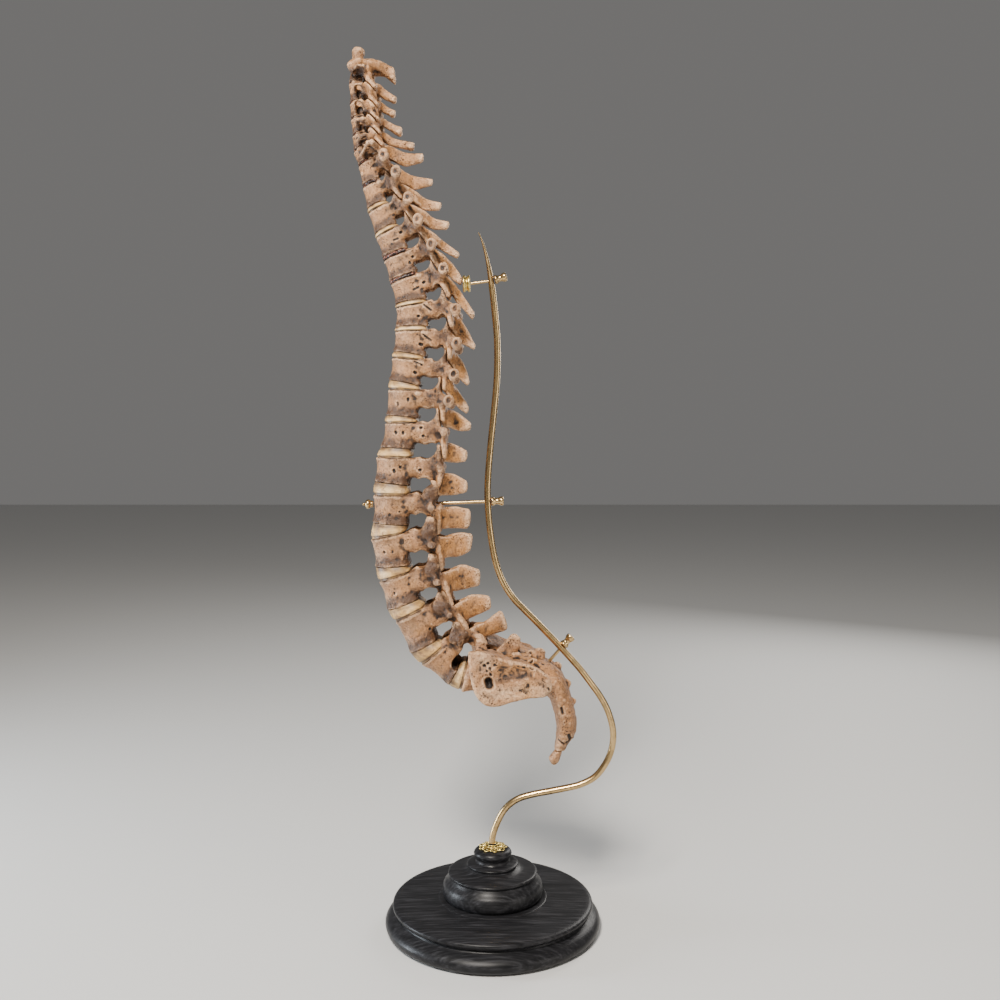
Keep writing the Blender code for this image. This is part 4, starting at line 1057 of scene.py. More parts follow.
def dens():
    """The peg and the two shoulders that carried the missing bone above."""
    made = [limb([(-118.5, 0, 750, 6, 5.5), (-118.6, 0, 760, 5, 4.6), (-118.2, 0, 767, 5.8, 5.2),
                  (-117.9, 0, 769.6, 5, 4.6)], up=AHEAD, blunt=0.4)]
    for side in (-1, 1):
        made.append(limb([(-118, side * 12, 745, 5, 6), (-119, side * 14, 751, 6.8, 6.8),
                          (-120, side * 15, 753.5, 6.8, 6.2)], up=AHEAD, blunt=0.35))
    return made


def vertebra_pieces(name, hollow):
    """The overlapping closed pieces that one skin makes into a vertebra."""
    pieces = [body(name, hollow)]
    for side in (-1, 1):
        pieces.append(pedicle(name, side))
        pieces.append(lamina(name, side))
        pieces.append(lower_process(name, side))
        pieces.extend(transverse(name, side))
        if name != LEVELS[0]:
            pieces.extend(upper_process(name, side))
        if region_of(name) == "thoracic" and name not in FLOATING:
            pieces.extend(rib_seats(name, side))
        if region_of(name) == "cervical":
            pieces.append(top_hooks(name, side))
    if name == LEVELS[0]:
        pieces.extend(dens())
        pieces.extend(arch_roof(side) for side in (-1, 1))
    pieces.extend(spinous(name))
    return pieces


def vertebra_spots(name):
    """Where a vertebra is darkened with dirt and painted shade, honey-stained, rubbed pale or painted with
    highlights: kind, centre, radius, strength.
    """
    region = region_of(name)
    place = pillar(name, 1)
    half_width = BODIES[name][4] / 2
    depth = depth_at(name, 0.5)
    root, middle, end = (spine_station(name, number, 0)[0] for number in range(3))
    tip_x, tip_z, span_out = TRANSVERSE[name]
    spots = [("pale", (end.x + 2, 3, end.z), 8, 0.6)]
    front, rearward = plate(name, 0.28)
    for share, strength in ((0.4, 0.35), (0.8, 0.45)):
        high = front + rearward * depth * share
        spots.append(("pale", (high.x, half_width, high.z), depth * 0.3, strength))
    if region in ("thoracic", "lumbar"):
        top = facet_frame(LEVELS[LEVELS.index(name) - 1], 1)[0]
        # Painted shade with dirt: dark at the pillar, under the lump of the upper joint and by the side
        # process; the side process's tip is darkened too.
        spots.append(("soot_and_shade", (place.x - 4, abs(place.y) + 4, place.z + 1), 11, 0.8))
        joint_shade, tip_reach, tip_darkening = (1.25, 11, 1.0) if region == "lumbar" else (0.85, 9, 0.62)
        spots.append(("soot_and_shade", (top.x - 3, abs(top.y) + 9, top.z - 7), 14, joint_shade))
        spots.append(("soot_and_shade", (tip_x - 3, span_out - 7, tip_z - 1), 9, 0.6))
        spots.append(("soot_and_shade", (tip_x, span_out + 2, tip_z), tip_reach, tip_darkening))
    else:
        # Painted shade with dirt in the recess at the pillar of a neck bone.
        spots.append(("soot_and_shade", (place.x - 5, abs(place.y) - 2, place.z), 9.5, 0.95))
        spots.append(("warm", (place.x - 3, abs(place.y), place.z + 1), 7, 0.4))
    later = name in LEVELS[LEVELS.index("thoracic_t5"):]
    strength = 0.95 if name in ("thoracic_t9", "thoracic_t10", "thoracic_t11") else 0.75 if later else 0.35
    spots.append(("warm", (root.x - 2, 5, root.z), 14, strength))
    spots.append(("warm", (middle.x, 3, middle.z), 12, strength * 0.85))
    # Painted highlight: the front of the lower four lumbar bodies is painted pale at its lower and upper
    # rim, where the edge light falls.
    if name in LOIN[-4:]:
        for level, reach, strength in ((0.8, 15, 1.0), (0.1, 10, 0.7)):
            front, _ = plate(name, level)
            spots.append(("pale", (front.x, 7, front.z), reach, strength))
    return spots


def body_bands(name):
    """The lower third of a body darkened with painted shade and dirt, a painted shadow along its top edge
    and the faint honey stain between.
    """
    height = abs(BODIES[name][0][1] - BODIES[name][1][1])
    bands = []
    for kind, level, ahead, behind, reach, strength in (
            ("soot_and_shade", 0.84, 0.02, 0.97, 0.3, 0.95), ("soot_and_shade", 0.0, 0.1, 1.0, 0.09, 0.8),
            ("warm", 0.45, 0.0, 0.9, 0.3, 0.2)):
        front, rearward = plate(name, level)
        start = front + rearward * depth_at(name, level) * ahead
        end = front + rearward * depth_at(name, level) * behind
        bands.append((kind, (start.x, start.z), (end.x, end.z), height * reach, strength))
    return bands


def profile_section(pelvic_x, pelvic_z, rear_x, rear_z, half_width, sides=32):
    """An oval section of the sacrum or coccyx from its pelvic to its rear edge."""
    pelvic = in_side(pelvic_x, pelvic_z)
    rear = in_side(rear_x, rear_z)
    return oval(mid(pelvic, rear), (rear - pelvic) / 2, Vector((0, half_width, 0)), sides, 0.8)


def sacrum_pieces():
    """The sacrum's body, wings, joint processes, crests and knobs."""
    rows = smoothed(SACRAL_BODY, 4)
    pieces = [loft([profile_section(*row) for row in rows])]
    centre = in_side(*WING_CENTRE)
    outline = smoothed((*WING_OUTLINE, WING_OUTLINE[0]), 4)[:-1]
    for side in (-1, 1):
        rings = []
        for reach, grown in smoothed(WING_SECTIONS, 3):
            offset = Vector((0, side * reach, 0))
            rings.append([centre + (in_side(x, z) - centre) * grown + offset for x, z in outline])
        pieces.append(loft(rings))
        stations = [(x, side * y, z, thick, wide) for x, y, z, thick, wide in S1_PROCESS]
        process = limb(stations, up=Vector((1, 0, 0.3)))
        pieces.append(clear_of(process, facet_frame(LEVELS[-1], side), -1))
        for x, y, z, size in SACRAL_KNOBS:
            pieces.append(ball(x, side * y, z, size, (1.3, 1, 0.9)))
        for x, z, size in ((69, 186, 3.6), (66.5, 172, 3.4)):
            pieces.append(ball(x, side * 9, z, size, (0.9, 1, 1.5)))
    for crest in (S1_SPINE, S3_SPINE):
        pieces.append(limb([(x, 0, z, deep, wide) for x, z, deep, wide in crest], up=AHEAD, fullness=0.85))
    for x, z, size in ((56, 227, 4), (64.5, 212, 3.8), (70, 196, 3.4)):
        pieces.append(ball(x, 0, z, size, (1.2, 0.8, 1.1)))
    return pieces


def sacrum_cutters():
    """The holes on both faces where nerves left the bone, and the canal's mouth at each end."""
    made = []
    front = ((2, 15, 209.5, 3.4), (19, 15.5, 211, 3.2), (34, 15, 209, 3), (47, 14, 199, 2.6))
    rear = ((12, 16, 241, 2.6), (28, 16, 240, 2.5), (44, 15, 233, 2.3), (60, 12, 215, 2.1))
    for side in (-1, 1):
        for x, y, z, radius in front:
            made.append(ball(x, side * y, z - 1, radius, (1, 1.25, 1.5)))
        for x, y, z, radius in rear:
            made.append(ball(x, side * y, z + 1, radius, (1, 1.1, 1.5)))
    made.append(limb([(-24, 0, 243, 5.5, 10), (-12, 0, 240, 5, 9), (0, 0, 236, 3.5, 7)]))
    made.append(limb([(76, 0, 176, 2.5, 4.6), (70.5, 0, 172, 3, 4.6), (69, 0, 166, 2, 4)], up=AHEAD))
    return made


def sacral_rearward():
    """The rearward direction of the plate on top of the sacrum."""
    rise = math.radians(SACRAL_PLATE[1])
    return in_side(math.cos(rise), math.sin(rise))


def sacral_outline(shrink, sides=44):
    """The outline of the plate on top of the sacrum, drawn in by shrink."""
    front = in_side(*SACRAL_PLATE[0])
    rearward = sacral_rearward()
    half_width = SACRAL_PLATE[3] / 2 - shrink
    depth = SACRAL_PLATE[2] - 2 * shrink
    points = []
    for angle in angles(sides):
        across = Vector((0, half_width * math.sin(angle), 0))
        points.append(front + rearward * (shrink + depth * share_of_depth(math.cos(angle))) + across)
    return points


# A disc's rings from the lower plate to the upper: which of its outlines, how far up, how dark: brown with
# painted shade at its upper and lower edges.
DISC_LAYERS = (
    (0, 0.0, 1.0), (0, 0.17, 1.0), (1, 0.19, 0.7), (2, 0.3, 0.0), (2, 0.55, 0.15), (1, 0.8, 0.75),
    (0, 1.0, 0.95),
)
DISC_SEAT_GAP = 0.1


def disc_rings(index):
    """Rings of the disc under one vertebra, from the lower plate to the upper, barely bulging."""
    upper = LEVELS[index]
    _, upper_rear = plate(upper, 1.0)
    if index + 1 < len(LEVELS):
        lower = LEVELS[index + 1]
        _, lower_rear = plate(lower, 0.0)
        bottoms = [body_outline(lower, 0.0, shrink) for shrink in (1.5, 0.6, 0.3)]
    else:
        lower_rear = sacral_rearward()
        bottoms = [sacral_outline(shrink) for shrink in (1.6, 0.9, 0.6)]
    tops = [body_outline(upper, 1.0, shrink) for shrink in (1.2, 0.8, 0.5)]
    upper_down = quarter_turn(upper_rear) * -DISC_SEAT_GAP
    lower_up = quarter_turn(lower_rear) * DISC_SEAT_GAP
    rings = []
    for layer, share, _ in DISC_LAYERS:
        rings.append([mid(low + lower_up, high + upper_down, share)
                      for low, high in zip(bottoms[layer], tops[layer])])
    return rings


def tree_of(name):
    """A new material, its node tree, its shader and the coordinates of the piece."""
    made = bpy.data.materials.new(name)
    made.use_nodes = True
    tree = made.node_tree
    return made, tree, tree.nodes["Principled BSDF"], add(tree, "ShaderNodeTexCoord").outputs["Object"]


def add(tree, kind, inputs=None, **settings):
    """Adds a node. An input takes a value, or a socket that is linked to it."""
    node = tree.nodes.new(kind)
    for key, value in settings.items():
        setattr(node, key, value)
    for key, value in (inputs or {}).items():
        if isinstance(value, bpy.types.NodeSocket):
            tree.links.new(value, node.inputs[key])
        else:
            node.inputs[key].default_value = value
    return node


def ramp(tree, factor, stops):
    """The factor turned into colours by (position, colour) stops."""
    node = add(tree, "ShaderNodeValToRGB", {"Fac": factor})
    elements = node.color_ramp.elements
    while len(elements) < len(stops):
        elements.new(0.5)
    for element, (position, colour) in zip(elements, stops):
        element.position = position
        element.color = (*colour, 1.0)
    return node.outputs["Color"]


def grey(value):
    return (value, value, value)


def blend(tree, factor, first, second, mode="MIX"):
    """The first colour mixed with the second by the factor."""
    node = add(tree, "ShaderNodeMix", {"Factor": factor}, data_type="RGBA", blend_type=mode)
    for socket, value in ((node.inputs[6], first), (node.inputs[7], second)):
        if isinstance(value, bpy.types.NodeSocket):
            tree.links.new(value, socket)
        else:
            socket.default_value = (*value, 1.0)
    return node.outputs[2]


def arithmetic(tree, operation, first, second):
    node = add(tree, "ShaderNodeMath", {0: first, 1: second}, operation=operation)
    return node.outputs[0]


def cells_at(tree, coords, scale):
    """Distance from the middles of scattered cells, this many to the metre."""
    return add(tree, "ShaderNodeTexVoronoi", {"Vector": coords, "Scale": scale}).outputs["Distance"]


def stretched_by(tree, coords, scale):
    """The coordinates scaled along each axis, which draws a pattern out."""
    return add(tree, "ShaderNodeMapping", {"Vector": coords, "Scale": scale}).outputs["Vector"]


def span(tree, value, low, high, to_low=0.0, to_high=1.0):
    """The value's range from low to high, moved to another range."""
    inputs = {"Value": value, "From Min": low, "From Max": high, "To Min": to_low, "To Max": to_high}
    return add(tree, "ShaderNodeMapRange", inputs).outputs["Result"]


def noise_at(tree, coords, scale, detail=3.0, roughness=0.55):
    """Cloudy noise with features this many to the metre."""
    inputs = {"Vector": coords, "Scale": scale, "Detail": detail, "Roughness": roughness}
    return add(tree, "ShaderNodeTexNoise", inputs).outputs["Fac"]


def product(tree, first, second):
    return arithmetic(tree, "MULTIPLY", first, second)


def add_bump(tree, shader, height, strength, distance, invert=False):
    """Gives the shader a relief of this height."""
    inputs = {"Strength": strength, "Distance": distance, "Height": height}
    bump = add(tree, "ShaderNodeBump", inputs, invert=invert)
    tree.links.new(bump.outputs["Normal"], shader.inputs["Normal"])


def attribute(tree, name):
    """A stored value of the surface."""
    return add(tree, "ShaderNodeAttribute", attribute_name=name).outputs["Fac"]


def times(colour, factor):
    """The colour made lighter or darker."""
    return tuple(min(channel * factor, 1.0) for channel in colour)


def bone_material(settings, name, lightness=1.0, pores=1.0):
    """Old dry bone: mottled tan, rubbed pale on its edges, with painted shade and dirt in its hollows,
    holes and low parts, dark pores, and painted highlights on some rims.
    """
    made, tree, shader, coords = tree_of(name)
    tan = times(settings.bone_colour, lightness)
    broad = noise_at(tree, coords, 55, 3)
    colour = ramp(tree, broad, ((0.33, times(tan, 0.62)), (0.5, tan), (0.66, times(tan, 1.3))))
    rosy = span(tree, noise_at(tree, coords, 100, 2), 0.5, 0.64, 0, 0.5)
    colour = blend(tree, rosy, colour, times((0.40, 0.21, 0.11), lightness))
    colour = blend(tree, attribute(tree, "warm"), colour, settings.warm_colour)
    pale_noise = noise_at(tree, coords, 330, 4, 0.6)
    pale = product(tree, attribute(tree, "pale"), span(tree, pale_noise, 0.36, 0.56, 0.35, 1.0))
    colour = blend(tree, pale, colour, settings.pale_colour)
    mottle = noise_at(tree, coords, 620, 5, 0.65)
    shades = ramp(tree, mottle, ((0.34, grey(0.42)), (0.5, grey(0.86)), (0.64, grey(1.0))))
    colour = blend(tree, 0.9, colour, shades, "MULTIPLY")
    hollow = attribute(tree, "hollow")
    edge = product(tree, span(tree, hollow, 0.38, 0.20, 0, 0.7), span(tree, mottle, 0.36, 0.56, 0.25, 1))
    colour = blend(tree, edge, colour, settings.pale_colour)
    # Painted shade with dirt: the dark marks darken the recesses of the arch, the lower third of each body
    # and the edge under its rim.
    dark_breakup = span(tree, noise_at(tree, coords, 240, 5, 0.65), 0.34, 0.6, 0.5, 1.15)
    soot_and_shade = product(tree, attribute(tree, "soot_and_shade"), dark_breakup)
    colour = blend(tree, span(tree, soot_and_shade, 0.1, 0.55, 0, 0.95), colour, (0.058, 0.023, 0.007))
    # Painted shade with old dirt: hollow places are darkened like ambient occlusion.
    streak = noise_at(tree, coords, 260, 4, 0.6)
    crevice_shade = product(tree, span(tree, hollow, 0.515, 0.66, 0, 1), span(tree, streak, 0.3, 0.52, 0.6, 1))
    colour = blend(tree, crevice_shade, colour, settings.dark_colour)
    cells = cells_at(tree, coords, 560.0)
    where = span(tree, noise_at(tree, coords, 130, 2), 0.47, 0.6, 0, pores)
    pore = product(tree, span(tree, cells, 0.34, 0.18, 0, 1), where)
    colour = blend(tree, pore, colour, times(settings.dark_colour, 1.4))
    # Painted shade: holes and cracks are darkened nearly black inside.
    colour = blend(tree, attribute(tree, "pit"), colour, times(settings.dark_colour, 0.45))
    tree.links.new(colour, shader.inputs["Base Color"])
    tree.links.new(span(tree, mottle, 0.3, 0.7, 0.66, 0.42), shader.inputs["Roughness"])
    grain = noise_at(tree, coords, 1500, 3, 0.6)
    relief = arithmetic(tree, "ADD", product(tree, mottle, 0.9), product(tree, grain, 0.35))
    relief = arithmetic(tree, "ADD", relief, product(tree, streak, 0.8))
    relief = arithmetic(tree, "SUBTRACT", relief, product(tree, pore, 0.9))
    add_bump(tree, shader, relief, 0.9, 0.0009)
    return made


def disc_material(settings):
    """Cream composition with faint lines along the disc, its upper and lower edges darkened: partly brown
    in the disc, partly painted shade under the rims.
    """
    made, tree, shader, coords = tree_of("cream disc")
    base = settings.disc_colour
    broad = noise_at(tree, coords, 75, 3)
    colour = ramp(tree, broad, ((0.34, times(base, 0.62)), (0.48, base), (0.64, (0.76, 0.52, 0.26))))
    lines = noise_at(tree, stretched_by(tree, coords, (0.22, 0.22, 1.0)), 900, 3, 0.6)
    shades = ramp(tree, lines, ((0.35, grey(0.55)), (0.55, grey(1.0))))
    colour = blend(tree, 0.7, colour, shades, "MULTIPLY")
    stain = span(tree, noise_at(tree, coords, 210, 4), 0.56, 0.68, 0, 0.8)
    colour = blend(tree, stain, colour, (0.20, 0.10, 0.05))
    # Painted shade and brown at the disc's upper and lower edges, under the rims.
    high = span(tree, attribute(tree, "rim_shade_and_brown"), 0.1, 0.8, 0, 0.95)
    patchy = span(tree, noise_at(tree, coords, 120, 3), 0.38, 0.6, 0.5, 1.0)
    colour = blend(tree, product(tree, high, patchy), colour, (0.075, 0.035, 0.015))
    tree.links.new(colour, shader.inputs["Base Color"])
    shader.inputs["Roughness"].default_value = 0.5
    add_bump(tree, shader, lines, 0.4, 0.0004)
    return made


def glue_material():
    """The dark red-brown beads of old glue that show where a thin disc has gone."""
    made, tree, shader, coords = tree_of("dark glue")
    cells = cells_at(tree, coords, 420.0)
    colour = ramp(tree, cells, (
        (0.1, (0.42, 0.18, 0.11)), (0.35, (0.13, 0.045, 0.03)), (0.6, (0.02, 0.01, 0.008))))
    tree.links.new(colour, shader.inputs["Base Color"])
    shader.inputs["Roughness"].default_value = 0.38
    add_bump(tree, shader, cells, 1.0, 0.0012, invert=True)
    return made


def brass_material(name, colour, roughness, tarnish):
    """Lacquered brass with soft tarnish in cloudy streaks."""
    made, tree, shader, coords = tree_of(name)
    clouds = noise_at(tree, coords, 130, 4, 0.6)
    base = ramp(tree, clouds, ((0.36, times(colour, tarnish)), (0.56, colour), (0.72, times(colour, 1.12))))
    tree.links.new(base, shader.inputs["Base Color"])
    shader.inputs["Metallic"].default_value = 1.0
    fine = noise_at(tree, coords, 1600, 2)
    tree.links.new(span(tree, clouds, 0.35, 0.65, roughness + 0.1, roughness), shader.inputs["Roughness"])
    add_bump(tree, shader, fine, 0.03, 0.0001)
    return made


def wood_material(settings):
    """Ebonised wood: black, satin, with straight open grain under the polish."""
    made, tree, shader, coords = tree_of("black wood")
    grain = noise_at(tree, stretched_by(tree, coords, (1.0, 16.0, 9.0)), 34, 6, 0.65)
    black = settings.wood_colour
    colour = ramp(tree, grain, ((0.36, times(black, 0.55)), (0.52, black), (0.7, times(black, 2.6))))
    tree.links.new(colour, shader.inputs["Base Color"])
    tree.links.new(span(tree, grain, 0.35, 0.7, 0.3, 0.45), shader.inputs["Roughness"])
    shader.inputs["Specular IOR Level"].default_value = 0.16
    add_bump(tree, shader, grain, 0.16, 0.0004)
    return made


def finish(obj, skin, node):
    """Dresses a piece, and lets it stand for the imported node."""
    obj.data.materials.clear()
    obj.data.materials.append(skin)
    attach(obj, "root")
    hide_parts(node)


def shade(obj, degrees=40):
    """Shades the surface smooth, with edges sharper than this angle kept."""
    obj.data.shade_smooth()
    obj.data.set_sharp_from_angle(angle=math.radians(degrees))


def shared(name, maker):
    """The material of this name, made at its first use."""
    return bpy.data.materials.get(name) or maker()


def rough_bone_of(settings):
    return shared("rough bone", lambda: bone_material(settings, "rough bone", 1.12, 1.6))


def brass_of(settings):
    return shared("old brass", lambda: brass_material("old brass", settings.brass_colour, 0.22, 0.72))


def gilt_of(settings):
    return shared("gilt brass", lambda: brass_material("gilt brass", settings.gilt_colour, 0.24, 0.55))


def build_vertebra(name, settings):
    """Makes one vertebra's skin, weathers it and dresses it."""
    hollow = settings.plate_hollow / MM
    cutters = []
    for side in (-1, 1):
        cutters.extend(opening_cutters(name, side) + rib_dishes(name, side))
    fine = 0.8 if name in (*NECK, CHEST[0]) else 1.0
    fillet = 0.0012 if name in NECK else 0.002 if name in CHEST[:-1] else 0.0026
    obj = skinned("bone_" + name, vertebra_pieces(name, hollow), cutters, settings.grain * fine, fillet)
    marks = [mark for mark in BODY_MARKS if BODIES[name][1][1] - 9 < mark[1] < BODIES[name][0][1] + 12]
    marks = [mark for mark in marks if own_mark(name, mark)]
    weathered(obj, LEVELS.index(name) + 1, marks, vertebra_spots(name), settings, bands=body_bands(name))
    finish(obj, shared("aged bone", lambda: bone_material(settings, "aged bone")), name)


def own_mark(name, mark):
    """Whether a mark lies between this body's two plates."""
    for level, sign in ((0.0, 1), (1.0, -1)):
        front, rearward = plate(name, level)
        if (in_side(mark[0], mark[1]) - front).dot(quarter_turn(rearward)) * sign > -MARK_MARGIN:
            return False
    return True


class SPINE_OT_neck_bones(bpy.types.Operator):
    """Builds the axis and the five neck vertebrae below it"""
    bl_idname = "spine.neck_bones"
    bl_label = "Neck Vertebrae"
    bl_options = {"REGISTER", "UNDO"}

    def execute(self, context):
        for name in NECK:
            build_vertebra(name, context.scene.spine_bone)
        return {"FINISHED"}


class SPINE_OT_chest_bones(bpy.types.Operator):
    """Builds the twelve chest vertebrae"""
    bl_idname = "spine.chest_bones"
    bl_label = "Chest Vertebrae"
    bl_options = {"REGISTER", "UNDO"}

    def execute(self, context):
        for name in CHEST:
            build_vertebra(name, context.scene.spine_bone)
        return {"FINISHED"}


class SPINE_OT_loin_bones(bpy.types.Operator):
    """Builds the five lumbar vertebrae"""
    bl_idname = "spine.loin_bones"
    bl_label = "Lumbar Vertebrae"
    bl_options = {"REGISTER", "UNDO"}

    def execute(self, context):
        for name in LOIN:
            build_vertebra(name, context.scene.spine_bone)
        return {"FINISHED"}


class SPINE_OT_sacrum(bpy.types.Operator):
    """Builds the sacrum with its wings, crests and nerve holes"""
    bl_idname = "spine.sacrum"
    bl_label = "Sacrum"
    bl_options = {"REGISTER", "UNDO"}

    def execute(self, context):
        settings = context.scene.spine_bone
        obj = skinned("bone_sacrum", sacrum_pieces(), sacrum_cutters(), settings.grain * 1.1, 0.0016)
        weathered(obj, 40, SACRAL_MARKS, SACRAL_SPOTS, settings, roughness=1.7,
                  hollows=SACRAL_HOLLOWS, bands=SACRAL_BANDS)
        finish(obj, rough_bone_of(settings), "sacrum")
        return {"FINISHED"}


class SPINE_OT_coccyx(bpy.types.Operator):
    """Builds the small tail bone under the sacrum"""
    bl_idname = "spine.coccyx"
    bl_label = "Coccyx"
    bl_options = {"REGISTER", "UNDO"}

    def execute(self, context):
        settings = context.scene.spine_bone
        tail = loft([profile_section(*row) for row in smoothed(COCCYX, 4)])
        obj = skinned("bone_coccyx", [tail], [], settings.grain * 0.7)
        weathered(obj, 44, [], [("pale", (56, 2, 146), 8, 0.5)], settings, roughness=1.2)
        finish(obj, rough_bone_of(settings), "coccyx")
        return {"FINISHED"}


class SPINE_OT_discs(bpy.types.Operator):
    """Builds the discs between the bodies, some of them only a line of old glue"""
    bl_idname = "spine.discs"
    bl_label = "Discs"
    bl_options = {"REGISTER", "UNDO"}

    def execute(self, context):
        settings = context.scene.spine_bone
        cream = shared("cream disc", lambda: disc_material(settings))
        glue = shared("dark glue", glue_material)
        glued = ("c2_c3", "c3_c4", "c4_c5", "c5_c6", "c6_c7", "c7_t1", "t1_t2", "t4_t5", "t5_t6")
        for index, upper in enumerate(LEVELS):
            below = LEVELS[index + 1].split("_")[1] if index + 1 < len(LEVELS) else "s1"
            pair = upper.split("_")[1] + "_" + below
            rings = disc_rings(index)
            obj = object_of("layer_" + pair, loft(rings))
            rim_shade_and_brown = np.zeros(len(obj.data.vertices))
            layers = [brown for _, _, brown in DISC_LAYERS]
            rim_shade_and_brown[:len(rings[0]) * len(layers)] = np.repeat(layers, len(rings[0]))
            put_attribute(obj.data, "rim_shade_and_brown", rim_shade_and_brown)
            shade(obj, 50)
            finish(obj, glue if pair in glued else cream, "disc_" + pair)
        return {"FINISHED"}


def spun(bm, geometry, turns, weld):
    """Spins the geometry once round the upright axis and welds its seam and poles."""
    bmesh.ops.spin(
        bm, geom=geometry, cent=(0, 0, 0), axis=UP, angle=2 * math.pi, steps=turns, use_merge=True)
    bmesh.ops.remove_doubles(bm, verts=bm.verts, dist=weld)
    bmesh.ops.recalc_face_normals(bm, faces=bm.faces)


def turned(name, profile, seat, axis, turns, steps=3):
    """A turned piece: the eased profile spun round its axis and set on its seat."""
    bm = bmesh.new()
    rows = [(max(radius, 0.0), height) for radius, height in smoothed(profile, steps)]
    verts = [bm.verts.new((radius * MM, 0, height * MM)) for radius, height in rows]
    edges = [bm.edges.new(pair) for pair in zip(verts, verts[1:])]
    spun(bm, verts + edges, turns, 1e-6)
    tilt = Matrix.Rotation(math.atan2(axis[0], axis[1]), 4, "Y")
    bmesh.ops.transform(bm, matrix=Matrix.Translation(in_side(*seat) * MM) @ tilt, verts=bm.verts)
    obj = object_of(name, bm)
    shade(obj, 35)
    return obj


class SPINE_OT_base(bpy.types.Operator):
    """Builds the stepped base, turned and ebonised"""
    bl_idname = "spine.base"
    bl_label = "Turned Base"
    bl_options = {"REGISTER", "UNDO"}

    def execute(self, context):
        settings = context.scene.spine_stand
        obj = turned("turned_base", BASE_PROFILE, (0, 0), (0, 1), 144)
        finish(obj, shared("black wood", lambda: wood_material(settings)), "stand_base")
        return {"FINISHED"}


def ring_of_wire(place, turn, major, minor, stretch):
    """A small closed wire ring, spun from a circle and laid in the collar."""
    bm = bmesh.new()
    upright = Matrix.Translation((major * MM, 0, 0)) @ Matrix.Rotation(math.pi / 2, 4, "X")
    circle = bmesh.ops.create_circle(bm, segments=8, radius=minor * MM, matrix=upright)["verts"]
    spun(bm, circle + bm.edges[:], 20, 1e-7)
    bmesh.ops.scale(bm, vec=stretch, verts=bm.verts)
    bmesh.ops.transform(bm, matrix=turn, verts=bm.verts)
    bmesh.ops.translate(bm, vec=Vector(place) * MM, verts=bm.verts)
    return bm


class SPINE_OT_collar(bpy.types.Operator):
    """Builds the pierced brass collar of rings and beads round the rod's foot"""
    bl_idname = "spine.collar"
    bl_label = "Pierced Collar"
    bl_options = {"REGISTER", "UNDO"}

    def execute(self, context):
        settings = context.scene.spine_stand
        flat = Matrix.Identity(4)
        pieces = [ring_of_wire((0, 0, 70.2), flat, 4.0, 0.55, (1, 1, 1)),
                  ring_of_wire((0, 0, 69.3), flat, 5.6, 0.5, (1, 1, 1))]
        for number in range(9):
            angle = 2 * math.pi * number / 9
            lean = Matrix.Rotation(angle, 4, "Z") @ Matrix.Rotation(0.24, 4, "Y")
            place = (8.8 * math.cos(angle), 8.8 * math.sin(angle), 68.9)
            pieces.append(ring_of_wire(place, lean, 2.7, 0.45, (1.25, 0.92, 1)))
            place = (8.3 * math.cos(angle), 8.3 * math.sin(angle), 69.1)
            pieces.append(ring_of_wire(place, lean, 1.1, 0.35, (1.2, 1, 1)))
            pieces.append(ball(12.2 * math.cos(angle), 12.2 * math.sin(angle), 68.1, 0.75))
            half = angle + math.pi / 9
            pieces.append(ball(10.6 * math.cos(half), 10.6 * math.sin(half), 68.3, 0.8))
            pieces.append(ball(6.7 * math.cos(half), 6.7 * math.sin(half), 69.3, 0.6))
        obj = object_of("pierced_collar", gathered(pieces))
        obj.data.shade_smooth()
        gilt = gilt_of(settings)
        finish(obj, gilt, "stand_rosette")
        return {"FINISHED"}


class SPINE_OT_rod(bpy.types.Operator):
    """Builds the curved brass rod, tapered to a point at its top"""
    bl_idname = "spine.rod"
    bl_label = "Curved Rod"
    bl_options = {"REGISTER", "UNDO"}

    def execute(self, context):
        settings = context.scene.spine_stand
        path = smoothed(ROD_PATH, 4)
        top = ROD_PATH[-1][1]
        radius = settings.rod_radius / MM
        rings = []
        for index, (x, z) in enumerate(path):
            before = Vector((*path[max(index - 1, 0)], 0))
            after = Vector((*path[min(index + 1, len(path) - 1)], 0))
            along = (after - before).normalized()
            fade = max(0.0, (z - ROD_TAPER_Z) / (top - ROD_TAPER_Z))
            reach = radius + (ROD_POINT_RADIUS - radius) * fade
            across = in_side(-along.y, along.x) * reach
            rings.append(oval(Vector((x, 0, z)), across, Vector((0, reach, 0)), 20))
        obj = object_of("curved_rod", loft(rings))
        shade(obj, 60)
        finish(obj, brass_of(settings), "stand_rod")
        return {"FINISHED"}


